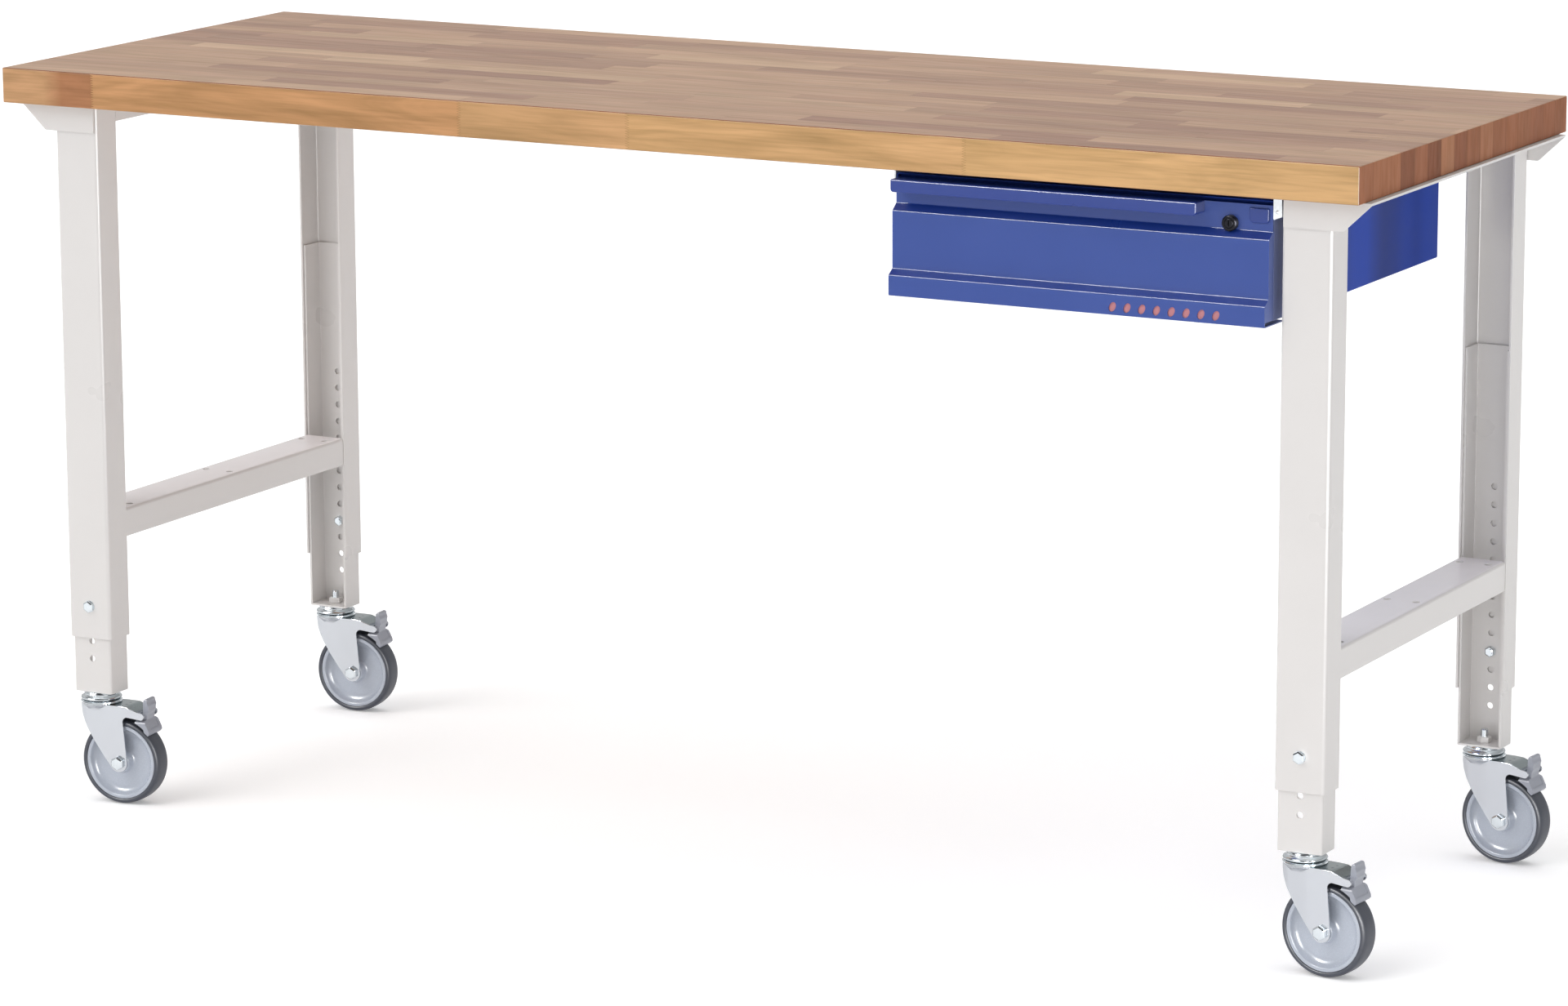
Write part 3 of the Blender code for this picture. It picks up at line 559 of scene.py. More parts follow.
def make_leg_meshes():
    bolt_hole = prism(circle((0, BOLT_Z), HOLE_RADIUS), "Y", -LEG_FACE - OVER, -LEG_FACE + OVER)
    outer_section = channel(LEG_WIDTH, LEG_DEPTH, STEEL, BEND, -LEG_FACE)
    outer = shape("outer_leg", "grey_paint", prism(outer_section, "Z", LEG_LOW.z, LEG_HIGH.z), cut(bolt_hole),
                  edge=0.0004)

    web_y = -LEG_FACE + STEEL + GAP
    width, depth = INNER_HIGH.x - INNER_LOW.x, LEG_DEPTH - 2 * STEEL - GAP
    inner_section = channel(width, depth, STEEL, BEND - 0.0015, web_y)
    plate_high = INNER_LOW.z + 0.0025
    plate = prism(fillet(rectangle((-width / 2, web_y), (width / 2, INNER_HIGH.y)),
                         [0.0035, 0.0035, 0.003, 0.003]), "Z", INNER_LOW.z, plate_high)
    holes = bmesh.new()
    for i in range(HOLE_COUNT):
        centre = (0, FIRST_HOLE_Z + i * HOLE_PITCH)
        prism(circle(centre, HOLE_RADIUS, 24), "Y", web_y - OVER, web_y + OVER, holes)
    stem_at = (0, -LEG_FACE + LEG_DEPTH / 2)
    stem_hole = prism(circle(stem_at, STEM_HOLE), "Z", INNER_LOW.z - OVER, plate_high + OVER)
    inner = shape("inner_leg", "grey_paint", prism(inner_section, "Z", INNER_LOW.z, INNER_HIGH.z),
                  join(plate) + cut(holes, stem_hole), edge=0.0004)
    return outer, inner


def chamfered_nut(centre, across_flats, axis, start, end, chamfer):
    """A hexagon whose outer end is drawn in, as on a bolt head."""
    direction = 1 if end > start else -1
    full, drawn_in = (arc(centre, corner_radius, 30, 330, 5)
                      for corner_radius in (across_flats / math.sqrt(3), across_flats / 2 - chamfer * 0.6))
    return loft([(full, start), (full, end - direction * chamfer), (drawn_in, end)], axis)


def make_height_bolt_mesh():
    """Hexagon bolt in from the outside, its nut against the inner leg's web."""
    face = -LEG_FACE - GAP
    inside = -LEG_FACE + 2 * STEEL + 2 * GAP
    shank = prism(circle((0, BOLT_Z), 0.004, 24), "Y", face - 0.002, inside + 0.0075)
    head = chamfered_nut((0, BOLT_Z), 0.0145, "Y", face, face - 0.0055, 0.0012)
    flange = prism(circle((0, BOLT_Z), 0.0082, 32), "Y", face, face - 0.0013)
    nut = chamfered_nut((0, BOLT_Z), 0.013, "Y", inside, inside + 0.006, 0.001)
    return shape("height_bolt", "bright_zinc", shank, join(head, flange, nut), edge=0.0003)


def make_crossbar_mesh():
    low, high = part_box("right_crossbar")
    half = (high.x - low.x) / 2
    outline = [(-half, low.z), (-half, high.z), (half, high.z), (half, low.z), (half - STEEL, low.z),
               (half - STEEL, high.z - STEEL), (-half + STEEL, high.z - STEEL), (-half + STEEL, low.z)]
    section = fillet(outline, [0, BEND, BEND, 0, 0, BEND - STEEL, BEND - STEEL, 0], 6)
    holes = bmesh.new()
    hole_spacing, pair_half = 0.25, 0.02
    for y in (-hole_spacing, 0.0, hole_spacing):
        for x in (-pair_half, pair_half):
            prism(circle((x, y), 0.005, 28), "Z", high.z - OVER, high.z + OVER, holes)
    mesh = shape("crossbar", "grey_paint", prism(section, "Y", low.y, high.y), cut(holes), edge=0.0004)
    # the upward faces get the paler grey: painted light on the top
    repaint(mesh, "top_paint_painted_light", lambda normal, centre: normal.z > 0.8 and centre.z > high.z - STEEL / 2)
    return mesh


def make_top_rail_mesh():
    """Plate, inner web and wings under the worktop's right-hand end."""
    low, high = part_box("right_top_rail")
    web_reach = LEG_FACE - LEG_DEPTH - GAP
    web_low, wing_low = UNDERSIDE - 0.026, UNDERSIDE - 0.037
    foot = LEG_X + LEG_WIDTH / 2 + 0.014
    section = fillet([(low.x, web_low), (low.x, high.z), (high.x, high.z), (high.x, high.z - STEEL),
                      (low.x + STEEL, high.z - STEEL), (low.x + STEEL, web_low)],
                     [0, BEND, 0, 0, BEND - STEEL, 0], 6)
    rail = prism(section, "Y", -web_reach, web_reach)
    wing = [(low.x + STEEL, high.z), (high.x, high.z), (high.x, high.z - STEEL), (foot, wing_low),
            (low.x + STEEL, wing_low)]
    wing_inner = LEG_FACE + GAP
    tools = []
    for front in (-1, 1):
        near, far = sorted((front * web_reach * 0.99, front * high.y))
        tools += join(prism(rectangle((low.x + BEND, near), (high.x, far)), "Z", high.z - STEEL, high.z))
        near, far = sorted((front * wing_inner, front * high.y))
        rounded = fillet(wing, [0.002, 0, 0.0015, 0.003, 0.002], 4)
        tools += join(prism(rounded, "Y", near, far))
    return shape("top_rail", "grey_paint", rail, tools, edge=0.0009, segments=3)


def make_end_frames():
    outer, inner = make_leg_meshes()
    bolt = make_height_bolt_mesh()
    for corner, (front, right) in CORNERS.items():
        turn = Matrix.Rotation(0.0 if front < 0 else math.pi, 4, "Z")
        at = Matrix.Translation((right * LEG_X, 0, 0)) @ turn
        place(f"{corner}_outer_leg_channel", outer, "bench", "frame_paint", [f"{corner}_outer_leg"], at)
        place(f"{corner}_inner_leg_channel", inner, f"{corner}_leg_extension", "frame_paint",
              [f"{corner}_inner_leg"], at)
        place(f"{corner}_bolt_and_nut", bolt, "bench", "bright_zinc", [f"{corner}_height_bolt"], at)
    crossbar = make_crossbar_mesh()
    rail = make_top_rail_mesh()
    for side, right in SIDES:
        turn = Matrix.Rotation(0.0 if right > 0 else math.pi, 4, "Z")
        place(f"{side}_crossbar_channel", crossbar, "bench", "frame_paint", [f"{side}_crossbar"],
              Matrix.Translation((right * LEG_X, 0, 0)))
        place(f"{side}_top_rail_plate", rail, "bench", "frame_paint", [f"{side}_top_rail"], turn)


# ---- castors
def fork_outline():
    """Side view of the fork: down its leading edge, round the axle, and out along the brake arm."""
    outline = [(-0.025, FORK_TOP), (-0.0249, 0.1345), (-0.0228, 0.124), (-0.0178, 0.1125), (-0.0108, 0.1005),
               (-0.0018, 0.0868)]
    outline += arc(AXLE, 0.0132, 207, 358, 14)
    outline += arc((0.0505, 0.119), 0.0073, 180, 95, 7)
    outline += arc(PEDAL_PIVOT, 0.0048, -100, 62, 12)
    outline += [ARM_END, (0.0525, 0.14), (0.0498, 0.141), (0.0465, FORK_TOP)]
    return outline


def draw_in(solid):
    """Turns the fork's sides in towards each other ahead of the crease, as the pressed sheet does."""
    taper, bow_x, curl = 0.12, -0.012, 20.0  # ahead of bow_x they also curve in
    crease_half = 0.0012
    for x in (CREASE + crease_half, CREASE, CREASE - crease_half,
              bow_x, bow_x - 0.003, bow_x - 0.006, bow_x - 0.01):
        geometry = solid.verts[:] + solid.edges[:] + solid.faces[:]
        bmesh.ops.bisect_plane(solid, geom=geometry, plane_co=(x, 0, 0), plane_no=(1, 0, 0))
    for vert in solid.verts:
        ahead = max(0.0, CREASE - vert.co.x)
        bow = max(0.0, bow_x - vert.co.x)
        inward = taper * ahead + curl * bow * bow
        if abs(vert.co.y) > FORK_INSIDE / 4:
            vert.co.y -= math.copysign(inward, vert.co.y)


def fork_crown():
    """The dish under the ball races that carries the fork's sides."""
    profile = [(PIN_HOLE, 0.0035), (0.017, 0.0035), (0.0185, 0.0078), (0.0212, 0.0078), (0.0232, 0.005),
               (0.0262, 0.0024), (0.028, 0.0006), (0.028, 0.0), (PIN_HOLE, 0.0)]
    return turned([(radius, FORK_TOP - depth) for radius, depth in profile], 72)


def make_fork_mesh():
    outside = prism(fork_outline(), "Y", -FORK_HALF, FORK_HALF)
    shoulder = [edge for edge in outside.edges
                if all(abs(abs(v.co.y) - FORK_HALF) < 1e-6 and v.co.z > 0.1335 and v.co.x > -0.0245
                       for v in edge.verts)
                and abs(edge.verts[0].co.x - edge.verts[1].co.x) > 1e-4]
    bmesh.ops.bevel(outside, geom=shoulder, offset=0.0022, segments=4, profile=0.5, affect="EDGES",
                    clamp_overlap=True)
    inner_top = FORK_TOP - FORK_WALL
    hollow_outline = [(-0.04, 0.03), (0.1, 0.03), (0.1, 0.16), (0.0645, 0.16), (0.0645, 0.1325),
                      (0.0517, 0.1376), (0.0487, inner_top), (-0.04, inner_top)]
    hollow = prism(hollow_outline, "Y", -FORK_INSIDE / 2, FORK_INSIDE / 2)
    axle_hole = prism(circle(AXLE, PIN_HOLE, 40), "Y", -0.03, 0.03)
    king = prism(circle((0, 0), PIN_HOLE, 40), "Z", FORK_TOP - OVER, FORK_TOP + OVER)
    dots = bmesh.new()
    for y in (-0.006, 0.006):
        prism(circle((0.042, y), 0.0016, 16), "Z", FORK_TOP - OVER, FORK_TOP + OVER, dots)
    solid = reopened(shape("rough_fork", "zinc_plate", outside, cut(hollow, axle_hole, king, dots)))
    draw_in(solid)
    mesh = shape("fork_pressing", "zinc_plate", solid, join(fork_crown()), edge=0.0005, crease_deg=40.0)
    # the fork's upward faces get the darker zinc: a painted dark reflection
    repaint(mesh, "zinc_painted_dark_reflection", lambda normal, centre: normal.z > 0.85 and centre.z > ARM_END[1])
    return mesh


def mirrored_profile(half_profile):
    """(radius, offset) points on one side of the wheel, followed by the same on the other side."""
    return [(r, -y) for r, y in half_profile] + [(r, y) for r, y in reversed(half_profile)]


def make_castor_meshes():
    meshes = {"fork": make_fork_mesh(), "pedal": make_pedal_mesh(), "brake_strip": make_brake_strip_mesh()}

    def finish(name, *what, **how):
        meshes[name] = shape(name, *what, **how)
    ring_low = FORK_TOP + 0.0048
    upper = [(0.0, 0.0), (0.0255, 0.0), (0.0272, 0.0005), (0.0283, 0.0014), (0.0287, 0.0026), (0.0283, 0.0038),
             (0.0272, 0.0049), (0.0257, 0.0058), (0.0246, 0.0066), (0.0241, 0.0074), (0.0243, 0.0084),
             (0.0237, 0.0098)]
    upper = [(radius, ring_low + height) for radius, height in upper]
    upper += [(0.0228, FOOT - GAP), (0.005, FOOT - GAP), (0.005, 0.1768), (0.0042, 0.178), (0.0, 0.178)]
    lower = [(PIN_HOLE, GAP / 3), (0.0276, GAP / 3), (0.0285, 0.0007), (0.029, 0.0018), (0.0287, 0.003),
             (0.0277, 0.0039), (0.0263, 0.0045), (PIN_HOLE, 0.0045)]
    lower = [(radius, FORK_TOP + height) for radius, height in lower]
    finish("upper_race", "bright_zinc", turned(upper, 72))
    finish("lower_race", "bright_zinc", turned(lower, 72))
    weld_nut = chamfered_nut((0, 0), 0.017, "Z", FOOT + 0.0028, FOOT + 0.0105, 0.0012)
    bore = prism(circle((0, 0), STEM_HOLE), "Z", FOOT, FOOT + 0.02)
    finish("stem_nut", "grey_paint", weld_nut, cut(bore), edge=0.0003)

    centre = [(PIN_HOLE, 0.018), (0.013, 0.018), (0.014, 0.0174), (0.0146, 0.016), (0.0158, 0.009),
              (0.0172, 0.0064), (0.02, 0.0052), (0.025, 0.0047), (0.035, 0.0048), (0.0395, 0.0055),
              (0.043, 0.0072), (0.0455, 0.0098), (0.0468, 0.0124), (0.0476, 0.014), (0.0486, 0.0146),
              (0.052, 0.0146), (0.0525, 0.0142)]
    finish("wheel_centre", "wheel_plastic", turned(mirrored_profile(centre), 96, True), crease_deg=40.0)
    tyre = [(0.0528, 0.0142), (0.053, 0.015), (0.0538, 0.0157), (0.0552, 0.016), (0.057, 0.0156),
            (0.0584, 0.0144), (0.0593, 0.0124), (0.0598, 0.009), (0.06, 0.0045)]
    finish("tyre", "tread_rubber", turned(mirrored_profile(tyre), 120, True), crease_deg=40.0)

    face = FORK_HALF + GAP
    shank = prism(circle((0, 0), 0.006, 40), "Y", -face - 0.002, face + 0.0085)
    head = chamfered_nut((0, 0), 0.017, "Y", -face, -face - 0.0062, 0.0014)
    nut = chamfered_nut((0, 0), 0.017, "Y", face, face + 0.0062, 0.0014)
    finish("axle_bolt", "bright_zinc", shank, join(head, nut), edge=0.0004)
    bracket = fillet([(0.06, 0.13), (0.06, 0.1318), (0.0648, 0.1322), (0.0665, 0.1338), (0.0674, 0.1322),
                      (0.0676, 0.125), (0.0655, 0.124)], [0, 0, 0, 0.0006, 0.0006, 0.001, 0.001], 3)
    spy_hole = prism(circle((-0.006, 0.13), 0.0014, 20), "X", 0.05, 0.08)
    finish("brake_bracket", "bright_zinc", prism(bracket, "Y", -0.016, 0.016), cut(spy_hole), edge=0.0006)
    return meshes


def make_pedal_mesh():
    """Two-lobed pedal: a waisted finger lobe with gripping ridges above, and a wide toe pad along the tyre."""
    ridges = []
    steps = 18
    for i in range(steps + 1):
        share = i / steps
        bow = 0.0054 + 0.0029 * math.sin(math.pi * min(1.0, share * 1.15 + 0.05))
        ridges.append((bow - 0.0009 * abs(math.sin(share * math.pi * 3.5)), 0.0215 - 0.0275 * share))
    finger = [(-0.0035, -0.008), (-0.0035, -0.0015), (-0.0015, 0.004), (-0.0007, 0.0115), (0.0006, 0.0216),
              (0.002, 0.0231), (0.0045, 0.023)] + ridges + [(0.006, -0.012)]
    half_widths = [(0.0112, 0.024), (0.0124, 0.018), (0.0112, 0.01), (0.0107, 0.005), (0.0116, -0.001),
                   (0.0108, -0.006), (0.0122, -0.013)]
    waisted = [(-half, z) for half, z in half_widths] + [(half, z) for half, z in reversed(half_widths)]
    waist = prism(fillet(waisted, [0.003] + [0.004] * 5 + [0, 0] + [0.004] * 5 + [0.003], 4), "X", -0.02, 0.02)
    lobe = prism(finger, "Y", -0.015, 0.015)

    pad_top, pad_end = (0.0045, -0.0064), (0.0115, -0.0205)
    side_view = [(-0.0091, -0.0058), pad_top, pad_end, (0.012, -0.0245)]
    side_view += arc(WHEEL_FROM_PEDAL, 0.0618, 42, 49, 4) + arc(WHEEL_FROM_PEDAL, 0.0645, 52, 66, 6)
    toe = prism(side_view, "Y", -0.0195, 0.0195)
    front_view = fillet([(-0.0195, -0.009), (-0.0125, -0.0045), (0.0125, -0.0045), (0.0195, -0.009),
                         (0.0195, -0.03), (-0.0195, -0.03)], [0.003, 0.003, 0.003, 0.003, 0.006, 0.006], 6)
    trim = prism(front_view, "X", -0.03, 0.03)
    slope = (Vector(pad_end) - Vector(pad_top)).normalized()
    out = Vector((-slope.y, slope.x))
    start = Vector(pad_top) + slope * 0.003
    panel = [start + slope * u + out * v for u, v in rectangle((0, -0.0007), (0.0105, 0.002))]
    recess = prism([(corner.x, corner.y) for corner in panel], "Y", -0.014, 0.014)
    pin = prism(circle((0, 0), 0.0025, 24), "Y", -FORK_INSIDE / 2 + GAP, FORK_INSIDE / 2 - GAP)
    toe_part = reopened(shape("rough_toe", "pedal_plastic", toe, [("INTERSECT", trim)] + cut(recess)))
    return shape("pedal", "pedal_plastic", lobe, [("INTERSECT", waist)] + join(toe_part, pin),
                 edge=0.0009, segments=3, crease_deg=38.0)


def make_brake_strip_mesh():
    """The thin spring strip between the pedal's toe and the tyre."""
    outline = arc(WHEEL_FROM_PEDAL, 0.0626, 51, 69, 10) + arc(WHEEL_FROM_PEDAL, 0.0634, 69, 51, 10)
    return shape("brake_strip", "spring_steel", prism(outline, "Y", -0.018, 0.018), edge=0.0002)


CASTOR_PIECES = (  # piece, mesh, body, slot, CAD node that it replaces, what it sits on
    ("upper_race", "upper_race", "leg_extension", "bright_zinc", "swivel_head", "stem"),
    ("weld_nut", "stem_nut", "leg_extension", "frame_paint", "stem_nut", "stem"),
    ("lower_race", "lower_race", "swivel", "bright_zinc", None, "stem"),
    ("fork_pressing", "fork", "swivel", "galvanised", "fork", "stem"),
    ("axle_hex_bolt", "axle_bolt", "swivel", "bright_zinc", "axle_bolt", "axle"),
    ("brake_bracket", "brake_bracket", "swivel", "bright_zinc", None, "stem"),
    ("wheel_disc", "wheel_centre", "wheel", "wheel_plastic", "wheel_centre", "axle"),
    ("tread_ring", "tyre", "wheel", "tread", "tyre", "axle"),
    ("pedal_moulding", "pedal", "pedal", "pedal_plastic", "brake_pedal", "pivot"),
    ("brake_strip", "brake_strip", "pedal", "galvanised", None, "pivot"),
)


def make_castors():
    meshes = make_castor_meshes()
    for corner in CORNERS:
        swivel_x, swivel_y = JOINTS[f"{corner}_castor_swivel"]["pos_m"][:2]
        across = JOINTS[f"{corner}_wheel_roll"]["axis"]
        turn = Matrix.Rotation(math.atan2(-across[0], across[1]), 4, "Z")
        stem = Matrix.Translation((swivel_x, swivel_y, 0)) @ turn
        at = {"stem": stem, "axle": stem @ Matrix.Translation((AXLE[0], 0, AXLE[1])),
              "pivot": stem @ Matrix.Translation((PEDAL_PIVOT[0], 0, PEDAL_PIVOT[1]))}
        for piece, mesh, body, slot, node, seat in CASTOR_PIECES:
            nodes = [f"{corner}_{node}"] if node else []
            place(f"{corner}_{piece}", meshes[mesh], f"{corner}_{body}", slot, nodes, at[seat])


# ---- drawer unit
def behind(distance):
    """Y of a point this far behind the worktop's front edge."""
    return FRONT_Y + distance


def below(distance):
    """Z of a point this far below the worktop's surface."""
    return SURFACE - distance


def make_drawer_front():
    """The folded front sheet, its hollow grip lip and its tab."""
    low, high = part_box("drawer_front")
    recess, panel, band = 0.026, 0.015, 0.004
    # (behind the worktop's front edge, below its surface), down the front of the sheet and up its back
    profile = [(recess, 0.0602), (recess, 0.093), (panel, 0.1015), (panel, 0.1755), (band, 0.1825),
               (band, 0.209), (0.062, 0.209)]
    lean = SHEET * 0.45
    back = [(0.062, 0.209 - SHEET), (band + SHEET, 0.209 - SHEET), (band + SHEET, 0.1825 + lean),
            (panel + SHEET, 0.1755 + lean), (panel + SHEET, 0.1015 + lean), (recess + SHEET, 0.093 + lean),
            (recess + SHEET, 0.0602)]
    outline = [(behind(y), below(z)) for y, z in profile + back]
    radii = [0] + [SHEET_BEND] * 5 + [0, 0, SHEET_BEND - SHEET] + [SHEET_BEND] * 4 + [0]
    sheet = prism(fillet(outline, radii, 5), "X", low.x, high.x)
    slots = bmesh.new()
    first_slot, slot_pitch, slot_lean = 0.6588, 0.02, 0.0016 / 0.006
    for i in range(8):
        centre = (first_slot + slot_pitch * i, below(0.1985))
        oval = [(x + slot_lean * (z - centre[1]), z) for x, z in circle(centre, 0.0048, 28, 1.3)]
        prism(oval, "Y", behind(-OVER), behind(0.012), slots)
    lock_at = (0.8085, below(0.085))
    bore = prism(circle(lock_at, 0.0088, 48), "Y", behind(0.01), behind(0.04))
    tools = cut(slots, bore)
    housing_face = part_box("drawer_housing")[0].y - 0.0005
    inset = 0.0006
    fold = [(band, 0.203), (band, 0.1828), (panel, 0.1758), (panel, 0.1018), (recess, 0.0925)]
    side_fold = [(housing_face, below(0.0925)), (housing_face, below(0.203))]
    side_fold += [(behind(y + inset), below(z)) for y, z in fold]
    for x in (low.x, high.x - SHEET):
        tools += join(prism(side_fold, "X", x, x + SHEET))
    mesh = shape("drawer_front_sheet", "blue_paint", sheet, tools, edge=0.0004)
    middle = (low.x + high.x) / 2
    # faces that look up and forward, the chamfers, get the deeper blue: painted shade under the worktop
    repaint(mesh, "deep_blue_and_painted_shade_paint", lambda normal, centre: normal.y < -0.3 and normal.z > 0.3)
    # the ends of the sheet get the paler blue: painted light where they lie in shade
    repaint(mesh, "fold_paint_painted_light",
            lambda normal, centre: abs(normal.x) > 0.8 and abs(centre.x - middle) > 0.25)
    place("drawer_front_sheet", mesh, "drawer", "drawer_paint", ["drawer_front"])

    lip_left, lip_right, lip_top, lip_low = low.x + 0.004, 0.7725, below(0.0595), below(0.076)
    rounded = fillet(rectangle((lip_left, lip_low), (lip_right, lip_top)), [0.0045, 0.0045, 0.0015, 0.0015], 6)
    lip = prism(rounded, "Y", behind(0.0), behind(recess - GAP))
    round_rim(lip, 1, behind(0.0), 0.0022)
    inside = fillet(rectangle((lip_left + SHEET, lip_low - 0.004), (lip_right - SHEET, lip_top - SHEET)),
                    [0, 0, 0.001, 0.001], 2)
    hollow = prism(inside, "Y", behind(SHEET), behind(recess + OVER))
    # the lip, and the tab below, are the same deeper blue
    add_piece("drawer_grip_lip", "deep_blue_and_painted_shade_paint", lip, "drawer", "drawer_paint", tools=cut(hollow),
              edge=0.0003)

    tab = fillet(rectangle((0.834, below(0.0825)), (0.8595, below(0.0645))), [0.0045, 0.0045, 0.001, 0.001], 6)
    add_piece("drawer_front_tab", "deep_blue_and_painted_shade_paint",
              prism(tab, "Y", behind(recess - 0.003), behind(recess - GAP / 2)),
              "drawer", "drawer_paint", edge=0.001, segments=3)

    strip_low = (0.6488, behind(band + SHEET + GAP), below(0.2062))
    strip_high = (0.809, behind(band + SHEET + 0.0009), below(0.1905))
    add_piece("perforation_backing", "backing_red", box(strip_low, strip_high), "drawer", "drawer_paint",
              edge=0.0002)
    return lock_at


def make_lock(lock_at):
    """The lock's barrel, its plug with the keyhole, and the cam behind."""
    length, plug_length = 0.022, 0.023
    barrel = [(0.0063, 0.0), (0.008, 0.0), (0.0092, 0.0005), (0.0099, 0.0014), (0.01, 0.0025), (0.01, 0.0076),
              (0.0085, 0.0076), (0.0085, length), (0.0063, length)]
    at = Matrix.Translation((lock_at[0], behind(0.018), lock_at[1]))
    add_piece("lock_barrel", "lock_black", turned(barrel, 64, True), "drawer", "lock_black",
              ["lock_housing"], at=at)
    plug = [(0.0, -0.0009), (0.0046, -0.0009), (0.0056, -0.0005), (0.006, 0.0002), (0.006, plug_length),
            (0.0, plug_length)]
    keyway = fillet(rectangle((-0.0007, -0.0036), (0.0007, 0.0036)), [0.0004] * 4, 2)
    key_slot = prism(keyway, "Y", -0.004, 0.006)
    add_piece("lock_key_plug", "lock_black", turned(plug, 64, True), "lock", "lock_black", ["lock_plug"],
              cut(key_slot), at, edge=0.0002)
    cam_y = plug_length + GAP
    cam = fillet([(0.005, -0.005), (0.005, 0.005), (-0.019, 0.005), (-0.024, 0.001), (-0.024, -0.001),
                  (-0.019, -0.005)], [0.0045, 0.0045, 0.001, 0.0008, 0.0008, 0.001], 5)
    add_piece("lock_cam_lever", "galvanised", prism(cam, "Y", cam_y, cam_y + 0.002), "lock", "bright_zinc",
              ["lock_cam"], at=at, edge=0.0003)


def make_housing():
    """Sheet housing, open in front and below, with in-turned lower flanges and a keeper for the lock."""
    low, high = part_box("drawer_housing")
    plan = fillet(rectangle((low.x, low.z), (high.x, high.z)), [0.002, 0.002, 0.003, 0.003], 4)
    body = prism(plan, "Y", low.y, high.y)
    round_rim(body, 1, high.y, 0.0025)
    inside = prism(fillet(rectangle((low.x + SHEET, low.z + SHEET), (high.x - SHEET, high.z - SHEET)),
                          [0.001, 0.001, 0.0015, 0.0015], 3), "Y", low.y - OVER, high.y - SHEET)
    inset = SHEET + 0.012
    mouth = box((low.x + inset, low.y - OVER, low.z - OVER), (high.x - inset, high.y - inset, low.z + OVER))
    keeper = box((low.x + SHEET / 2, behind(0.036), below(0.07)),
                 (high.x - SHEET / 2, behind(0.036) + SHEET, high.z - SHEET / 2))
    # its paint carries painted reflection bands and painted light along its front edge
    add_piece("drawer_housing_sheet", "housing_paint_painted_light", body, "bench", "drawer_paint", ["drawer_housing"],
              cut(inside, mouth) + join(keeper), edge=0.0004)


def make_tray():
    """The drawer's own box, with rounded corners and a rounded edge round its bottom."""
    low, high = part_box("drawer_body")
    body = prism(fillet(rectangle((low.x, low.y), (high.x, high.y)), [0.003] * 4, 4), "Z", low.z, high.z)
    round_rim(body, 2, low.z, 0.002, 3)
    inside = prism(fillet(rectangle((low.x + SHEET, low.y + SHEET), (high.x - SHEET, high.y - SHEET)),
                          [0.0015] * 4, 3), "Z", low.z + SHEET, high.z + OVER)
    add_piece("drawer_tray", "blue_paint", body, "drawer", "drawer_paint", ["drawer_body"], cut(inside),
              edge=0.0006, segments=3)


def make_hangers():
    """Galvanised angles between the housing and the worktop, the right-hand one with a riveted tab in front."""
    wall = 0.002
    for side, right in SIDES:
        low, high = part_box(f"{side}_hanger")
        outer, inner = (high.x, low.x) if right > 0 else (low.x, high.x)
        web = outer - right * wall
        outline = [(outer, low.z), (outer, high.z), (inner, high.z), (inner, high.z - wall),
                   (web, high.z - wall), (web, low.z)]
        section = fillet(outline, [0, 0.0034, 0, 0, 0.0014, 0], 5)
        add_piece(f"{side}_hanger_angle", "galvanised", prism(section, "Y", low.y, high.y),
                  "bench", "galvanised", [f"{side}_hanger"], edge=0.0003)
    tab_left, tab_right = high.x - wall, high.x + 0.0092
    sloped = [(tab_left, low.z), (tab_right, low.z + 0.004), (tab_right, high.z - 0.001),
              (tab_left, high.z - 0.001)]
    tab = prism(fillet(sloped, [0.001] * 4, 3), "Y", low.y - 0.0016, low.y - GAP)
    rivet = turned([(0.0, -0.0015), (0.0014, -0.0013), (0.0021, -0.0006), (0.0023, 0.0003), (0.0, 0.0003)], 24,
                   True, centre=((tab_left + tab_right) / 2, low.y - 0.0016, low.z + 0.01))
    add_piece("right_hanger_tab", "galvanised", tab, "bench", "galvanised", tools=join(rivet), edge=0.0002)


def finish_slides():
    """The slide members keep their CAD shape and get a galvanised finish."""
    for side, _ in SIDES:
        for member in ("fixed", "middle", "drawer"):
            piece = frame["nodes"][f"{side}_slide_{member}"]
            piece.data.materials.clear()
            piece.data.materials.append(MATERIALS["galvanised"])


# ---- stage
def add_card(name, half_size, location, material):
    """A level card that belongs to the stage."""
    mesh = bpy.data.meshes.new(name)
    corners = rectangle((-half_size[0], -half_size[1]), half_size)
    mesh.from_pydata([(x, y, 0) for x, y in corners], [], [(0, 1, 2, 3)])
    mesh.materials.append(material)
    card = add_object(name, mesh)
    card.location = location
    return card


def make_floor():
    """A white floor that is slightly lit from inside, so that it comes out white up to the shadows."""
    graph = material_graph("studio_floor")
    cloud = graph.noise(graph.position()[0], 0.6, 2.0)
    graph.set(Base_Color=graph.ramp(cloud, [(0.0, (0.93, 0.93, 0.935, 1)), (1.0, (0.95, 0.95, 0.955, 1))]),
              Roughness=0.85, Emission_Color=(1, 1, 1, 1), Emission_Strength=0.2)
    add_card("studio_floor", (80.0, 80.0), (0, 0, -0.0002), graph.owner)


def aim(name, light, location, target):
    holder = add_object(name, light)
    holder.location = location
    holder.rotation_euler = (Vector(target) - Vector(location)).to_track_quat("-Z", "Y").to_euler()
    return holder


def add_sun(name, come_from, share, spread_deg, only_gloss=False):
    """Light from far away. share is how bright it makes white paper that faces it."""
    sun = {"energy": share * math.pi, "angle": math.radians(spread_deg)}
    light = configured(bpy.data.lights.new(name, "SUN"), sun)
    aim(name, light, Vector(come_from) * 5, (0, 0, 0)).visible_diffuse = not only_gloss


def add_strip(name, location, target, size, power):
    """A tall soft box that shows as a highlight on bends and plating, and adds no other light."""
    box_light = {"shape": "RECTANGLE", "size": size[0], "size_y": size[1], "energy": power}
    light = configured(bpy.data.lights.new(name, "AREA"), box_light)
    holder = aim(name, light, location, target)
    holder.visible_diffuse = holder.visible_camera = False


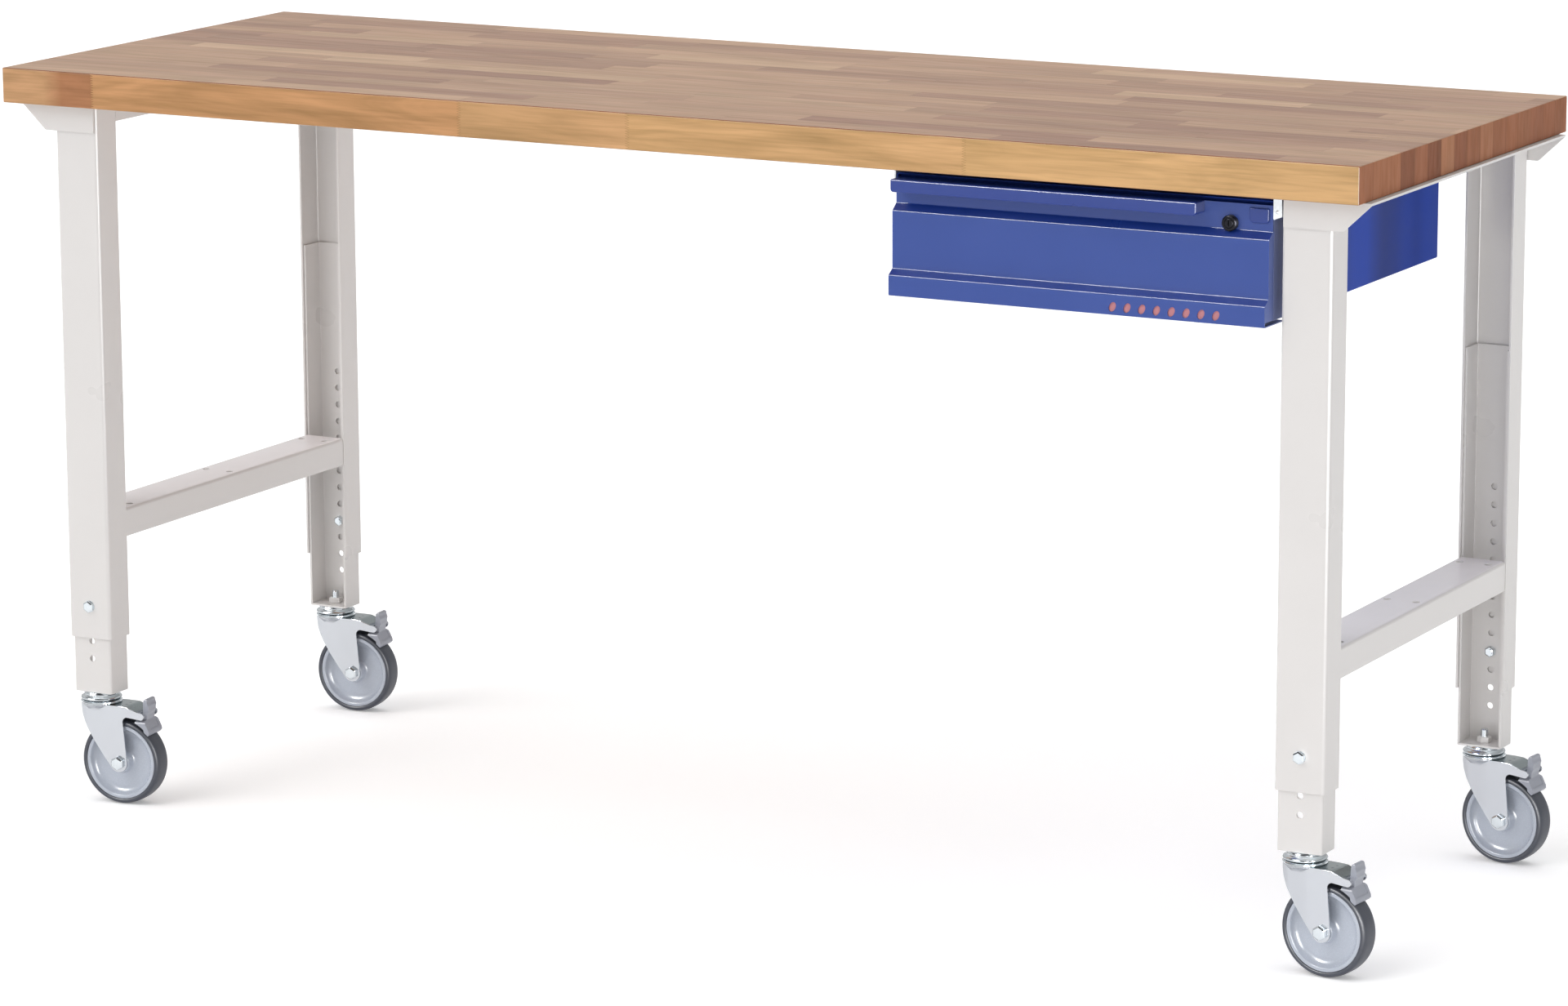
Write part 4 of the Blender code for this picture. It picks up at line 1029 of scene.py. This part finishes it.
def add_flag(name, location, half_size):
    """A black card overhead, seen only in reflections: it puts the dark streaks into the plating."""
    black = material_graph(name).set(Base_Color=(0.01, 0.01, 0.012, 1), Roughness=1.0)
    card = add_card(name, half_size, location, black)
    card.visible_camera = card.visible_diffuse = card.visible_shadow = False


def make_light():
    """A white room, darker in a band above the horizon, with a soft key from the front left and a top light."""
    room = Graph(bpy.data.worlds.new("studio"), "Background")
    bpy.context.scene.world = room.owner
    direction = room.node("TexCoord").outputs["Generated"]
    height = room.node("SeparateXYZ", {0: direction}).outputs[2]
    stops = [(0.0, 0.75), (0.12, 0.62), (0.2, 1.0), (0.5, 1.0), (0.62, 0.45), (1.0, 0.75)]
    grey = room.ramp(height, [(position, (value, value, value, 1)) for position, value in stops])
    room.set(Color=grey, Strength=0.72)
    add_sun("key", (-0.45, -0.72, 0.78), 0.4, 50.0)
    add_sun("top", (0.1, 0.15, 1.0), 0.3, 70.0)
    add_sun("fold_highlight", (-0.4, -0.75, 0.7), 2.0, 16.0, only_gloss=True)
    add_strip("right_strip", (3.0, -1.3, 0.8), (0.9, -0.3, 0.7), (0.5, 1.6), 75)
    add_strip("left_strip", (2.3, -2.75, 0.8), (-0.9, -0.3, 0.7), (0.9, 1.6), 200)
    add_flag("overhead_flag", (0, -2.6, 2.4), (3.0, 1.4))


def make_camera():
    """The photo's camera, from a fit to the worktop's and the legs' corners; the angles are in radians."""
    camera_data = bpy.data.cameras.new("camera")
    camera_data.sensor_width = 36.0
    camera_data.lens = 132.9
    camera_data.clip_end = 200.0
    camera = add_object("camera", camera_data)
    yaw, pitch, roll = -0.49476, 0.20733, 0.0035
    ahead = Vector((math.sin(yaw) * math.cos(pitch), math.cos(yaw) * math.cos(pitch), -math.sin(pitch)))
    right = Vector((math.cos(yaw), -math.sin(yaw), 0))
    down = ahead.cross(right)
    level_right = right * math.cos(roll) + down * math.sin(roll)
    level_down = down * math.cos(roll) - right * math.sin(roll)
    axes = Matrix((level_right, -level_down, -ahead)).transposed().to_4x4()
    camera.matrix_world = Matrix.Translation((3.6555, -6.7582, 2.0711)) @ axes
    bpy.context.scene.camera = camera


bpy.context.scene.view_settings.view_transform = "Standard"
make_camera()
make_light()
make_floor()
make_worktop()
make_end_frames()
make_castors()
make_lock(make_drawer_front())
make_housing()
make_tray()
make_hangers()
finish_slides()
